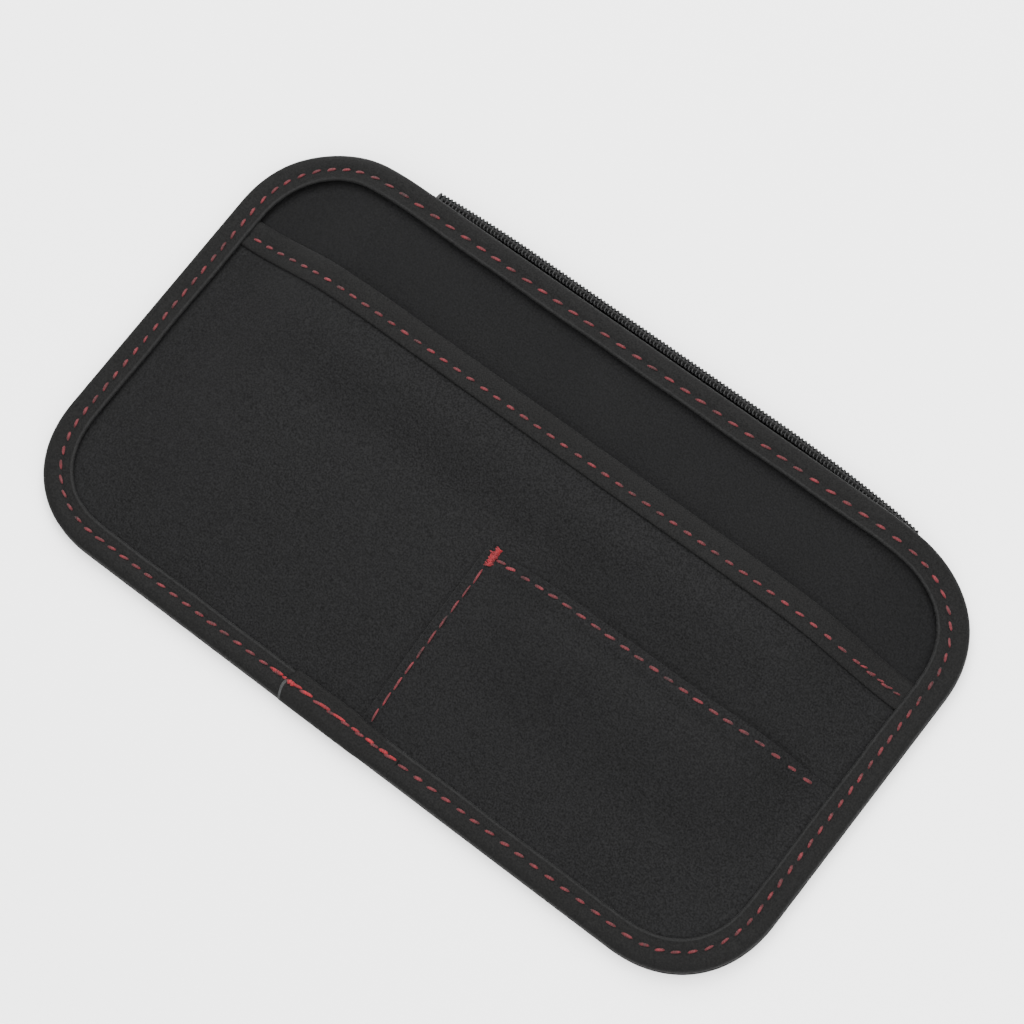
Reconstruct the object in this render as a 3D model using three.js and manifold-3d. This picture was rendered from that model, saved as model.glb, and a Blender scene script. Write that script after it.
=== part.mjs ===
// A flat organiser pouch of black sheet material with red seams. A padded back and a domed front
// are bound along their edges and sewn together on three sides. The fourth side is a mouth with a
// coil zip, drawn open: its slider is parked at the left end. The front carries a slot pocket over
// its full width and a small pocket at its lower right.
//
// Millimetres. X runs along the mouth, Y towards the mouth, Z up out of the front face. The pouch
// lies on its back.

import * as THREE from 'three';
import { mergeVertices } from 'three/addons/utils/BufferGeometryUtils.js';
import Module from 'manifold-3d';

const wasm = await Module();
wasm.setup();

// ---------------------------------------------------------------- driving dimensions

const LENGTH = 232;
const HEIGHT = 130.4;
const CORNER_RADIUS = 30;
const CORNER_POWER = 2.2; // 2 is a circular corner, more is squarer

const SHEET = 0.5; // outer material of the panels and pockets
const LINING = 0.3;
const BOARD = 0.6;
const LAYER_GAP = 0.12; // between sheets that lie on each other

const BINDING_SHEET = 0.6;
const BINDING_WIDTH = 8.1;
const RIM_WIDTH = 2.3; // rolled outer edge of the binding
const RIM_GAP = 0.2; // from the rim to the sheet edges inside it

const SEAM_INSET = 4.8; // from the outline to the perimeter seam
const THREAD_WIDTH = 0.7;
const THREAD_HEIGHT = 0.32;
const THREAD_GROOVE = 0.2;
const THREAD_SIDE_GAP = 0.15;

const SLOT_BELOW_TOP = 31; // from the top edge to the slot pocket's mouth
const SLOT_GAPE = 4.5;
const SLOT_GAPE_RISE = 20;
const SLOT_SHOULDER = 45;
const HEM_WIDTH = 8.3;
const HEM_SEAM = 5; // from the mouth to the hem's seam

const SMALL_LENGTH = 115.4; // from the right edge to the small pocket's left edge
const SMALL_HEIGHT = 65.4; // from the bottom edge to its mouth
const SMALL_DROOP = 2.2; // its mouth hangs lower where it gapes
const SMALL_GAPE = 5;
const SMALL_GAPE_RISE = 26;
const SMALL_SHOULDER = 22;
const SMALL_MOUTH_SEAM = 2.3;
const SMALL_SIDE_SEAM = 3.15;
const TACK_LENGTH = 5;
const TACK_WIDTH = 1.5;
const TACK_HEIGHT = 0.5;

const DOME_RUN = 62; // the front rises to its full height over this distance from the bottom seam
const SHOULDER = 34; // and over this one from each side seam

const TAPE = 0.4;
const TAPE_UNDER = 7.4; // how far the tape reaches in under the lip
const TAPE_STOWED = 5.6; // its outer edge, in from the lip, beside the parked slider
const COIL_WIDTH = 2.2;
const COIL_THICKNESS = 1.5;
const COIL_PROUD = 3.3; // the coil's tip beyond the lip at mid mouth
const COIL_TAPER = 3.9; // how much less of it shows at the ends
const COIL_MESH_GAP = 0.2;
const COIL_TURN = 10; // length over which each row turns from upright to flat
const COIL_TAPE_LAP = 1.1; // how far the tape reaches over the coil

const SLIDER_LENGTH = 10.2;
const SLIDER_WIDTH = 6.2;
const SLIDER_TAIL_WIDTH = 4.8;
const SLIDER_PLATE = 0.95;
const SLIDER_MARGIN = 1.15; // mouth height left above and below the slider
const SLIDER_LIFT = 0.4; // from the back rim to the slider
const SLIDER_FROM_LIP = 3.5; // from the lip's edge to the middle of the slider
const CHANNEL = 2.1; // between the slider's plates
const NECK_WIDTH = 1.3;
const NECK_LENGTH = 2.4;

const TAB_THICKNESS = 0.8;
const TAB_WIDTH = 2.6;
const TAB_LENGTH = 12.5; // from its pivot to its tip
const TAB_EYE = 3; // length of the window that the bail passes through
const TAB_BAR = 0.8; // diameter of its crossbar
const BAIL_WIDTH = 0.9;
const BAIL_THICKNESS = 0.6;
const BAIL_LENGTH = 5.6;
const PIVOT_GAP = 0.2;
const STOP_LENGTH = 2;
const STOP_THICKNESS = 0.9;
const FIT_GAP = 0.1;

// ---------------------------------------------------------------- what follows from them

const HALF_LENGTH = LENGTH / 2;
const HALF_HEIGHT = HEIGHT / 2;
const SHEET_INSET = RIM_WIDTH + RIM_GAP;
const INNER_X = HALF_LENGTH - BINDING_WIDTH;
const INNER_Y = HALF_HEIGHT - BINDING_WIDTH;

// heights of the layers where the pouch is shut, from the back up
const BACK_FLANGE_Z = BINDING_SHEET + LAYER_GAP;
const BOARD_Z = SHEET + LAYER_GAP;
const BACK_INSIDE_Z = Math.max(BACK_FLANGE_Z + SHEET, BOARD_Z + BOARD);
const BACK_LINING_Z = BACK_INSIDE_Z + LAYER_GAP;
const BACK_RIM_TOP = BACK_LINING_Z + LINING + LAYER_GAP / 2;
const FRONT_RIM_Z = BACK_RIM_TOP + LAYER_GAP;
const FRONT_LINING_Z = FRONT_RIM_Z + LAYER_GAP / 2;
const FRONT_PANEL_Z = FRONT_LINING_Z + LINING + LAYER_GAP;
const SLOT_Z = FRONT_PANEL_Z + SHEET + LAYER_GAP;
const OVER_SLOT_Z = SLOT_Z + SHEET + LAYER_GAP; // the hem and the small pocket
const FRONT_LEG_Z = OVER_SLOT_Z + SHEET + LAYER_GAP;
const FRONT_LEG_TOP = FRONT_LEG_Z + BINDING_SHEET;

const GAPE = SLIDER_WIDTH + 2 * SLIDER_MARGIN; // how far the mouth stands open
const SHOULDER_END = HALF_LENGTH - 6;
const SHOULDER_START = SHOULDER_END - SHOULDER;
const BACK_TAPE_Z = BACK_RIM_TOP + LAYER_GAP;
const FRONT_TAPE_Z = FRONT_RIM_Z - LAYER_GAP - TAPE; // below the lip, before the lift
const TAPE_HALF_LENGTH = SHOULDER_END - 0.38 * SHOULDER;

const ZIP_Y = HALF_HEIGHT - SLIDER_FROM_LIP;
const ZIP_Z = BACK_RIM_TOP + SLIDER_LIFT + SLIDER_WIDTH / 2;
const PARKED_X = -(SHOULDER_START + 6);
const SHUT_X = SHOULDER_START + 2.5;
const SLIDER_HALF = SLIDER_LENGTH / 2;

const SLOT_MOUTH_Y = HALF_HEIGHT - SLOT_BELOW_TOP;
const SMALL_LEFT_X = HALF_LENGTH - SMALL_LENGTH;
const SMALL_TOP_Y = SMALL_HEIGHT - HALF_HEIGHT;
const SMALL_SEAM_X = SMALL_LEFT_X + SMALL_SIDE_SEAM;

const THREAD_REST = LAYER_GAP / 2; // between a thread and the sheet under it

// ---------------------------------------------------------------- materials

function material(color, roughness, metalness = 0) {
  return new THREE.MeshStandardMaterial({ color, roughness, metalness });
}

const PANEL_BLACK = () => material(0x2b2b2d, 0.82);
const BINDING_BLACK = () => material(0x333332, 0.75);
const LINING_BLACK = () => material(0x1e1e20, 0.9);
const BOARD_GREY = () => material(0x6b6b6b, 0.9);
const TAPE_BLACK = () => material(0x161618, 0.9);
const COIL_BLACK = () => material(0x232325, 0.35);
const GUNMETAL = () => material(0x3a3b3e, 0.35, 0.9);
const RED_THREAD = () => material(0xa8323c, 0.6);

// ---------------------------------------------------------------- surface of the front

function smooth(t) {
  const s = Math.min(Math.max(t, 0), 1);
  return s * s * (3 - 2 * s);
}

// How far the front stands above its shut height at a place.
function lift(x, y) {
  const across = 1 - smooth((Math.abs(x) - SHOULDER_START) / SHOULDER);
  const run = Math.min(Math.max((y + INNER_Y) / DOME_RUN, 0), 1);
  return GAPE * across * Math.sin((Math.PI / 2) * run);
}

// How far the slot pocket stands off the front panel.
function slotGape(x, y) {
  const across = 1 - smooth((Math.abs(x) - (INNER_X - 3 - SLOT_SHOULDER)) / SLOT_SHOULDER);
  const start = SLOT_MOUTH_Y - HEM_WIDTH - 6 - SLOT_GAPE_RISE;
  return SLOT_GAPE * across * smooth((y - start) / SLOT_GAPE_RISE);
}

// How far the small pocket stands off the slot pocket.
function smallGape(x, y) {
  const left = smooth((x - SMALL_SEAM_X - 2) / SMALL_SHOULDER);
  const right = smooth((INNER_X - 3 - x) / SMALL_SHOULDER);
  const start = SMALL_TOP_Y - 12 - SMALL_GAPE_RISE;
  return SMALL_GAPE * left * right * smooth((y - start) / SMALL_GAPE_RISE);
}

function smallMouthY(x) {
  return SMALL_TOP_Y - SMALL_DROOP * (1 - smooth((x - (INNER_X - 38)) / 38));
}

const onPanel = (z) => (x, y) => z + lift(x, y);
const onSlot = (z) => (x, y) => z + lift(x, y) + slotGape(x, y);
const onSmall = (z) => (x, y) => onSlot(z)(x, y) + smallGape(x, y);
const level = (z) => () => z;

// ---------------------------------------------------------------- outline

const CORNER_STEPS = 9;

function cornerDirection(t) {
  const power = 2 / CORNER_POWER;
  return [Math.cos(t) ** power, Math.sin(t) ** power];
}

// Places along the outline. Each has a centre and a direction: the outline inset by d passes
// through centre + direction * (CORNER_RADIUS - d).
function outlineStations(longXs, sideSteps) {
  const cx = HALF_LENGTH - CORNER_RADIUS;
  const cy = HALF_HEIGHT - CORNER_RADIUS;
  const stations = [];
  const quadrants = [[1, 1], [-1, 1], [-1, -1], [1, -1]];
  quadrants.forEach(([sx, sy], q) => {
    for (let k = 0; k <= CORNER_STEPS; k++) {
      const turn = (Math.PI / 2) * (k / CORNER_STEPS);
      const along = q % 2 === 0 ? turn : Math.PI / 2 - turn;
      const [ux, uy] = cornerDirection(along);
      stations.push({ x: sx * cx, y: sy * cy, ux: sx * ux, uy: sy * uy });
    }
    if (q === 0 || q === 2) {
      const xs = longXs.filter((x) => Math.abs(x) < cx - 0.5).map((x) => -x * sy);
      xs.forEach((x) => stations.push({ x, y: sy * cy, ux: 0, uy: sy }));
    } else {
      for (let k = 1; k < sideSteps; k++) {
        const y = -sx * cy * (1 - (2 * k) / sideSteps);
        stations.push({ x: sx * cx, y, ux: sx, uy: 0 });
      }
    }
  });
  return stations;
}

function insetPoint(s, d) {
  return [s.x + s.ux * (CORNER_RADIUS - d), s.y + s.uy * (CORNER_RADIUS - d)];
}

// Half the height of the outline inset by d, at a given x.
function outlineY(x, d) {
  const radius = CORNER_RADIUS - d;
  const past = Math.max(Math.abs(x) - (HALF_LENGTH - CORNER_RADIUS), 0) / radius;
  const share = Math.max(1 - Math.min(past, 1) ** CORNER_POWER, 0) ** (1 / CORNER_POWER);
  return HALF_HEIGHT - CORNER_RADIUS + radius * share;
}

// X places of the columns of every front sheet: close together where the front curves.
function columnXs() {
  const radius = CORNER_RADIUS - SHEET_INSET;
  const flatEnd = Math.min(SHOULDER_START, HALF_LENGTH - CORNER_RADIUS - 4);
  const half = [];
  const middleCells = Math.ceil(flatEnd / 13);
  for (let k = 0; k <= middleCells; k++) half.push((flatEnd * k) / middleCells);
  const curveSteps = Math.ceil((HALF_LENGTH - CORNER_RADIUS - flatEnd) / 5);
  for (let k = 1; k <= curveSteps; k++) {
    half.push(flatEnd + ((HALF_LENGTH - CORNER_RADIUS - flatEnd) * k) / curveSteps);
  }
  for (let k = 1; k <= CORNER_STEPS; k++) {
    half.push(HALF_LENGTH - CORNER_RADIUS + radius * Math.sin((Math.PI / 2) * (k / CORNER_STEPS)));
  }
  return [...half.slice(1).reverse().map((x) => -x), ...half];
}

const COLUMNS = columnXs();

// ---------------------------------------------------------------- solids

function geometryOf(points, triangles) {
  let volume = 0;
  for (const [a, b, c] of triangles) {
    const [p, q, r] = [points[a], points[b], points[c]];
    volume += p[0] * (q[1] * r[2] - q[2] * r[1]);
    volume += p[1] * (q[2] * r[0] - q[0] * r[2]);
    volume += p[2] * (q[0] * r[1] - q[1] * r[0]);
  }
  const facing = volume < 0 ? triangles.map(([a, b, c]) => [a, c, b]) : triangles;
  const geometry = new THREE.BufferGeometry();
  geometry.setAttribute('position', new THREE.Float32BufferAttribute(points.flat(), 3));
  geometry.setIndex(facing.flat());
  geometry.computeVertexNormals();
  return geometry;
}

// A body through equal rings of points. A closed one joins its last ring to its first, and an open
// one has flat ends, cut into triangles from the ring's own flat shape.
function loft(rings, flatShape = null) {
  const size = rings[0].length;
  const triangles = [];
  const last = flatShape ? rings.length - 1 : rings.length;
  for (let i = 0; i < last; i++) {
    const here = i * size;
    const next = ((i + 1) % rings.length) * size;
    for (let j = 0; j < size; j++) {
      const k = (j + 1) % size;
      triangles.push([here + j, here + k, next + k], [here + j, next + k, next + j]);
    }
  }
  if (flatShape) {
    const shape = flatShape.map(([u, v]) => new THREE.Vector2(u, v));
    const end = (rings.length - 1) * size;
    for (const [a, b, c] of THREE.ShapeUtils.triangulateShape(shape, [])) {
      triangles.push([a, c, b], [end + a, end + b, end + c]);
    }
  }
  return geometryOf(rings.flat(), triangles);
}

// A sheet between two height functions, over columns at xs with rows at the heights yAt(x).
function sheet(xs, yAt, zLow, zHigh) {
  const points = [];
  const triangles = [];
  const columns = xs.map(yAt);
  const across = columns[0].length;
  const rows = across - 1;
  for (const z of [zLow, zHigh]) {
    xs.forEach((x, i) => columns[i].forEach((y) => points.push([x, y, z(x, y)])));
  }
  const top = xs.length * across;
  const quad = (a, b, c, d) => triangles.push([a, b, c], [a, c, d]);
  for (let i = 0; i + 1 < xs.length; i++) {
    for (let k = 0; k < rows; k++) {
      const a = i * across + k;
      quad(a, a + 1, a + across + 1, a + across);
      quad(top + a, top + a + across, top + a + across + 1, top + a + 1);
    }
    const low = i * across;
    const high = low + rows;
    quad(low, low + across, top + low + across, top + low);
    quad(high, top + high, top + high + across, high + across);
  }
  for (let k = 0; k < rows; k++) {
    const end = (xs.length - 1) * across + k;
    quad(k, top + k, top + k + 1, k + 1);
    quad(end, end + 1, top + end + 1, top + end);
  }
  return geometryOf(points, triangles);
}

// Equal rows from low to high.
function rowsBetween(low, high, count) {
  return Array.from({ length: count + 1 }, (_, k) => THREE.MathUtils.lerp(low, high, k / count));
}

// A ring along the outline from a profile of [inset, height] points.
function outlineRing(stations, profile, zOf) {
  return loft(stations.map((s) => profile.map(([d, z]) => {
    const [x, y] = insetPoint(s, d);
    return [x, y, zOf(z)(x, y)];
  })));
}

// A straight strip along X from a profile of [y, z] points; yOf shifts the profile's y by place.
function stripAlongX(xs, profile, yOf, zOf) {
  const rings = xs.map((x) => profile.map(([v, z]) => [x, yOf(x) + v, zOf(z)(x, yOf(x) + v)]));
  return loft(rings, profile);
}

function box(x0, x1, y0, y1, z0, z1) {
  const geometry = new THREE.BoxGeometry(x1 - x0, y1 - y0, z1 - z0);
  geometry.translate((x0 + x1) / 2, (y0 + y1) / 2, (z0 + z1) / 2);
  return geometry;
}

// A flat plate of an [x, z] outline between two y places.
function plateAcrossY(points, y0, y1) {
  const shape = new THREE.Shape(points.map(([x, z]) => new THREE.Vector2(x, z)));
  const geometry = new THREE.ExtrudeGeometry(shape, { depth: y1 - y0, bevelEnabled: false });
  geometry.rotateX(Math.PI / 2);
  geometry.translate(0, y1, 0);
  return geometry;
}

function roundedPlate(inset, z0, z1) {
  const outline = outlineStations([], 1).map((s) => new THREE.Vector2(...insetPoint(s, inset)));
  const geometry = new THREE.ExtrudeGeometry(new THREE.Shape(outline), {
    depth: z1 - z0,
    bevelEnabled: false,
  });
  geometry.translate(0, 0, z0);
  return geometry;
}

function toManifold(geometry) {
  const bare = geometry.clone();
  bare.deleteAttribute('normal');
  bare.deleteAttribute('uv');
  const merged = mergeVertices(bare, 1e-4);
  return new wasm.Manifold(new wasm.Mesh({
    numProp: 3,
    vertProperties: new Float32Array(merged.attributes.position.array),
    triVerts: new Uint32Array(merged.index.array),
  }));
}

function fromManifold(solid) {
  const mesh = solid.getMesh();
  const geometry = new THREE.BufferGeometry();
  geometry.setAttribute('position', new THREE.Float32BufferAttribute(mesh.vertProperties, 3));
  geometry.setIndex(Array.from(mesh.triVerts));
  geometry.computeVertexNormals();
  return geometry;
}

function joined(...geometries) {
  const solids = geometries.map(toManifold);
  return fromManifold(solids.reduce((whole, piece) => whole.add(piece)));
}

function cut(geometry, ...tools) {
  const solids = tools.map(toManifold);
  return fromManifold(solids.reduce((whole, tool) => whole.subtract(tool), toManifold(geometry)));
}

// ---------------------------------------------------------------- the pouch

const pouch = new THREE.Group();

function add(name, geometry, look) {
  geometry.translate(0, -COIL_PROUD / 2, 0);
  const mesh = new THREE.Mesh(geometry, look);
  mesh.name = name;
  pouch.add(mesh);
  return mesh;
}

const FRONT_STATIONS = outlineStations(COLUMNS, 5);
const BACK_STATIONS = outlineStations([], 1);
const SLOT_EDGE_Y = SLOT_MOUTH_Y - SHEET - LAYER_GAP;

// The front's sheets share their rows, so that they stay the same distance apart everywhere.
function smallRows(x) {
  const bottom = -outlineY(x, SHEET_INSET);
  const seam = bottom + BINDING_WIDTH - SHEET_INSET;
  return [bottom, ...rowsBetween(seam, smallMouthY(x), 6)];
}

function slotRows(x) {
  return [...smallRows(x), ...rowsBetween(smallMouthY(x), SLOT_EDGE_Y, 5).slice(1)];
}

function frontRows(x) {
  return [...slotRows(x), ...rowsBetween(SLOT_EDGE_Y, outlineY(x, SHEET_INSET), 2).slice(1)];
}

const grooveOut = SEAM_INSET - THREAD_WIDTH / 2 - THREAD_SIDE_GAP;
const grooveIn = SEAM_INSET + THREAD_WIDTH / 2 + THREAD_SIDE_GAP;

function addBack() {
  const flange = roundedPlate(SHEET_INSET, BACK_FLANGE_Z, BACK_INSIDE_Z);
  const pan = roundedPlate(BINDING_WIDTH + RIM_GAP, 0, BACK_INSIDE_Z);
  const hollow = roundedPlate(BINDING_WIDTH + RIM_GAP + SHEET, SHEET, BACK_INSIDE_Z + 1);
  add('back_panel', cut(joined(flange, pan), hollow), PANEL_BLACK());

  const boardInset = BINDING_WIDTH + 2 * RIM_GAP + SHEET;
  add('back_board', roundedPlate(boardInset, BOARD_Z, BOARD_Z + BOARD), BOARD_GREY());
  add('back_lining', roundedPlate(SHEET_INSET, BACK_LINING_Z, BACK_LINING_Z + LINING), LINING_BLACK());

  const profile = [
    [BINDING_WIDTH, 0],
    [BINDING_WIDTH, BINDING_SHEET],
    [RIM_WIDTH, BINDING_SHEET],
    [RIM_WIDTH, BACK_RIM_TOP],
    [0.3, BACK_RIM_TOP],
    [0, BACK_RIM_TOP - 0.3],
    [0, 0.7],
    [0.3, 0.25],
    [1, 0],
    [grooveOut, 0],
    [grooveOut, THREAD_GROOVE],
    [grooveIn, THREAD_GROOVE],
    [grooveIn, 0],
  ];
  add('back_binding', outlineRing(BACK_STATIONS, profile, level), BINDING_BLACK());
}

function addFront() {
  const lining = [onPanel(FRONT_LINING_Z), onPanel(FRONT_LINING_Z + LINING)];
  const panel = [onPanel(FRONT_PANEL_Z), onPanel(FRONT_PANEL_Z + SHEET)];
  add('front_lining', sheet(COLUMNS, frontRows, ...lining), LINING_BLACK());
  add('front_panel', sheet(COLUMNS, frontRows, ...panel), PANEL_BLACK());

  const profile = [
    [BINDING_WIDTH, FRONT_LEG_Z],
    [BINDING_WIDTH, FRONT_LEG_TOP],
    [grooveIn, FRONT_LEG_TOP],
    [grooveIn, FRONT_LEG_TOP - THREAD_GROOVE],
    [grooveOut, FRONT_LEG_TOP - THREAD_GROOVE],
    [grooveOut, FRONT_LEG_TOP],
    [1.3, FRONT_LEG_TOP],
    [0.4, FRONT_LEG_TOP - 0.45],
    [0, FRONT_LEG_TOP - 1.2],
    [0, FRONT_RIM_Z + 0.3],
    [0.3, FRONT_RIM_Z],
    [RIM_WIDTH, FRONT_RIM_Z],
    [RIM_WIDTH, FRONT_LEG_Z],
  ];
  add('front_binding', outlineRing(FRONT_STATIONS, profile, onPanel), BINDING_BLACK());
}

function addSlotPocket() {
  const heights = [onSlot(SLOT_Z), onSlot(SLOT_Z + SHEET)];
  add('slot_pocket_panel', sheet(COLUMNS, slotRows, ...heights), PANEL_BLACK());

  // the hem folds over the pocket's edge, so its profile is a leg on top and a web past the edge
  const top = OVER_SLOT_Z + SHEET;
  const seam = -HEM_SEAM;
  const half = THREAD_WIDTH / 2 + THREAD_SIDE_GAP;
  const profile = [
    [-HEM_WIDTH, OVER_SLOT_Z],
    [-SHEET, OVER_SLOT_Z],
    [-SHEET, SLOT_Z],
    [0, SLOT_Z],
    [0, top - 0.25],
    [-0.25, top],
    [seam + half, top],
    [seam + half, top - THREAD_GROOVE],
    [seam - half, top - THREAD_GROOVE],
    [seam - half, top],
    [-HEM_WIDTH, top],
  ];
  const hemEnd = INNER_X + 2;
  const xs = COLUMNS.filter((x) => Math.abs(x) < hemEnd - 0.5);
  const hemXs = [-hemEnd, ...xs, hemEnd];
  add('slot_pocket_hem', stripAlongX(hemXs, profile, () => SLOT_MOUTH_Y, onSlot), BINDING_BLACK());
}

function addSmallPocket() {
  const leftXs = [SMALL_LEFT_X, SMALL_SEAM_X];
  for (let k = 0; k <= 6; k++) leftXs.push(SMALL_SEAM_X + 2 + (SMALL_SHOULDER * k) / 6);
  const xs = [...leftXs, ...COLUMNS.filter((x) => x > leftXs[leftXs.length - 1] + 1)];
  const heights = [onSmall(OVER_SLOT_Z), onSmall(OVER_SLOT_Z + SHEET)];
  add('small_pocket_panel', sheet(xs, smallRows, ...heights), PANEL_BLACK());
}

function threadProfile(z) {
  const half = THREAD_WIDTH / 2;
  return [[-half, z], [half, z], [half, z + THREAD_HEIGHT], [-half, z + THREAD_HEIGHT]];
}

function addThreads() {
  const frontZ = FRONT_LEG_TOP - THREAD_GROOVE + THREAD_REST;
  const frontRing = threadProfile(frontZ).map(([v, z]) => [SEAM_INSET + v, z]);
  add('perimeter_thread_front', outlineRing(FRONT_STATIONS, frontRing, onPanel), RED_THREAD());

  const backTop = THREAD_GROOVE - THREAD_REST;
  const half = THREAD_WIDTH / 2;
  const backRing = [[-half, 0.02], [half, 0.02], [half, backTop], [-half, backTop]];
  const backProfile = backRing.map(([v, z]) => [SEAM_INSET + v, z]);
  add('perimeter_thread_back', outlineRing(BACK_STATIONS, backProfile, level), RED_THREAD());

  const hemZ = OVER_SLOT_Z + SHEET - THREAD_GROOVE + THREAD_REST;
  const hemXs = COLUMNS.filter((x) => Math.abs(x) < INNER_X - 0.5);
  const hemY = () => SLOT_MOUTH_Y - HEM_SEAM;
  add('hem_thread', stripAlongX(hemXs, threadProfile(hemZ), hemY, onSlot), RED_THREAD());

  const onTop = OVER_SLOT_Z + SHEET + THREAD_REST;
  const mouthStart = SMALL_SEAM_X + TACK_WIDTH / 2 + 0.6;
  const mouthXs = [mouthStart];
  for (let k = 1; k <= 6; k++) mouthXs.push(SMALL_SEAM_X + 2 + (SMALL_SHOULDER * k) / 6);
  mouthXs.push(...COLUMNS.filter((x) => x > mouthXs[mouthXs.length - 1] + 1 && x < INNER_X - 0.5));
  const mouthY = (x) => smallMouthY(x) - SMALL_MOUTH_SEAM;
  const mouthStrip = stripAlongX(mouthXs, threadProfile(onTop), mouthY, onSmall);
  add('small_pocket_mouth_thread', mouthStrip, RED_THREAD());

  const tackTop = smallMouthY(SMALL_SEAM_X) - 0.6;
  const sideTop = tackTop - TACK_LENGTH - 0.4;
  const sideXs = [SMALL_SEAM_X - half, SMALL_SEAM_X + half];
  const sideLow = 0.4 - INNER_Y;
  const between = (y) => y > sideLow + 1 && y < sideTop - 1;
  const sideRows = (x) => [sideLow, ...smallRows(x).filter(between), sideTop];
  const sideHeights = [onSmall(onTop), onSmall(onTop + THREAD_HEIGHT)];
  const side = sheet(sideXs, sideRows, ...sideHeights);
  add('small_pocket_side_thread', side, RED_THREAD());

  const tackXs = [SMALL_SEAM_X - TACK_WIDTH / 2, SMALL_SEAM_X + TACK_WIDTH / 2];
  const tackHeights = [onSmall(onTop), onSmall(onTop + TACK_HEIGHT)];
  const tack = sheet(tackXs, () => rowsBetween(tackTop - TACK_LENGTH, tackTop, 2), ...tackHeights);
  add('bar_tack', tack, RED_THREAD());
}

// ---------------------------------------------------------------- zip

// The coil's tip, beyond the lip's edge, along the open mouth.
function coilTip(x) {
  const flatHalf = 0.52 * SHOULDER_START;
  const past = Math.max(Math.abs(x) - flatHalf, 0) / (HALF_LENGTH - 26 - flatHalf);
  return COIL_PROUD - COIL_TAPER * past * past;
}

function addTape(name, zOf) {
  const start = PARKED_X + SLIDER_HALF;
  const edge = (x) => {
    const stowed = HALF_HEIGHT - TAPE_STOWED;
    const open = HALF_HEIGHT + coilTip(x) - COIL_WIDTH + COIL_TAPE_LAP;
    return THREE.MathUtils.lerp(stowed, open, smooth((x - start - COIL_TURN / 2) / 5));
  };
  const inner = HALF_HEIGHT - TAPE_UNDER;
  const xs = COLUMNS.filter((x) => Math.abs(x) < TAPE_HALF_LENGTH - 1);
  const near = [0, 1.7, 3.3, 5].map((step) => start + COIL_TURN / 2 + step);
  const kept = xs.filter((x) => x < near[0] - 1 || x > near[3] + 1);
  const all = [-TAPE_HALF_LENGTH, ...kept, ...near, TAPE_HALF_LENGTH].sort((a, b) => a - b);
  const rows = (x) => rowsBetween(inner, edge(x), 2);
  add(name, sheet(all, rows, zOf(0), zOf(TAPE)), TAPE_BLACK());
}

// One row of the coil, as its outer shape: a band on the tape along the open mouth, which dives
// into the slider at its parked end. side is 1 for the front row and -1 for the back row.
function coilRow(side) {
  const tail = PARKED_X - SLIDER_HALF - 0.3;
  const head = PARKED_X + SLIDER_HALF;
  const meshed = ZIP_Z + side * (COIL_MESH_GAP / 2 + COIL_WIDTH / 2);
  const parted = ZIP_Z + side * (NECK_WIDTH / 2 + COIL_MESH_GAP + COIL_WIDTH / 2);
  const openZ = (x) => (side > 0
    ? FRONT_TAPE_Z + lift(x, HALF_HEIGHT) - THREAD_REST - COIL_THICKNESS / 2
    : BACK_TAPE_Z + TAPE + THREAD_REST + COIL_THICKNESS / 2);
  const openY = (x) => HALF_HEIGHT + coilTip(x) - COIL_WIDTH / 2;
  const dive = head + COIL_TURN;
  const path = [
    [tail, ZIP_Y, meshed, 0],
    [PARKED_X - 1, ZIP_Y, meshed, 0],
    [head - NECK_LENGTH - 0.4, ZIP_Y, parted, 0],
    [head, ZIP_Y, parted, 0],
    [head + 0.25 * COIL_TURN, ZIP_Y, parted, 0.25],
    [head + 0.5 * COIL_TURN, ZIP_Y, THREE.MathUtils.lerp(parted, openZ(dive), 0.6), 0.7],
    [head + 0.7 * COIL_TURN, ZIP_Y + 0.3, openZ(dive - 0.3 * COIL_TURN), 1],
    [dive, openY(dive), openZ(dive), 1],
  ];
  const end = SHUT_X + SLIDER_HALF + 0.6 + STOP_LENGTH / 2;
  const openXs = COLUMNS.filter((x) => x > dive + 1 && x < end - 1);
  [...openXs, end].forEach((x) => path.push([x, openY(x), openZ(x), 1]));
  const halfW = COIL_WIDTH / 2;
  const halfT = COIL_THICKNESS / 2;
  const shape = [[-halfW, -halfT], [halfW, -halfT], [halfW, halfT], [-halfW, halfT]];
  const rings = path.map(([x, y, z, turned]) => {
    // upright in the slider, flat on the tape
    const angle = (Math.PI / 2) * (1 - turned);
    const c = Math.cos(angle);
    const s = Math.sin(angle);
    return shape.map(([w, t]) => [x, y + w * c - t * s, z + w * s + t * c]);
  });
  return loft(rings, shape);
}

function addStops() {
  const x0 = SHUT_X + SLIDER_HALF + 0.6 + STOP_LENGTH / 2 + FIT_GAP;
  const x1 = x0 + STOP_LENGTH;
  for (const [name, side] of [['top_stop_front', 1], ['top_stop_back', -1]]) {
    const y1 = HALF_HEIGHT + coilTip(x1) + 0.1;
    const y0 = y1 - COIL_WIDTH;
    const base = side > 0 ? FRONT_TAPE_Z - THREAD_REST : BACK_TAPE_Z + TAPE + THREAD_REST;
    const z0 = side > 0 ? onPanel(base - STOP_THICKNESS) : level(base);
    const z1 = side > 0 ? onPanel(base) : level(base + STOP_THICKNESS);
    add(name, sheet([x0, x1], () => [y0, y1], z0, z1), GUNMETAL());
  }
  const tail = PARKED_X - SLIDER_HALF - 0.3;
  const halfZ = COIL_WIDTH * 0.7;
  const halfY = COIL_THICKNESS / 2 + 0.2;
  const ends = [tail - FIT_GAP - STOP_LENGTH, tail - FIT_GAP];
  const stop = box(...ends, ZIP_Y - halfY, ZIP_Y + halfY, ZIP_Z - halfZ, ZIP_Z + halfZ);
  add('bottom_stop', stop, GUNMETAL());
}

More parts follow.
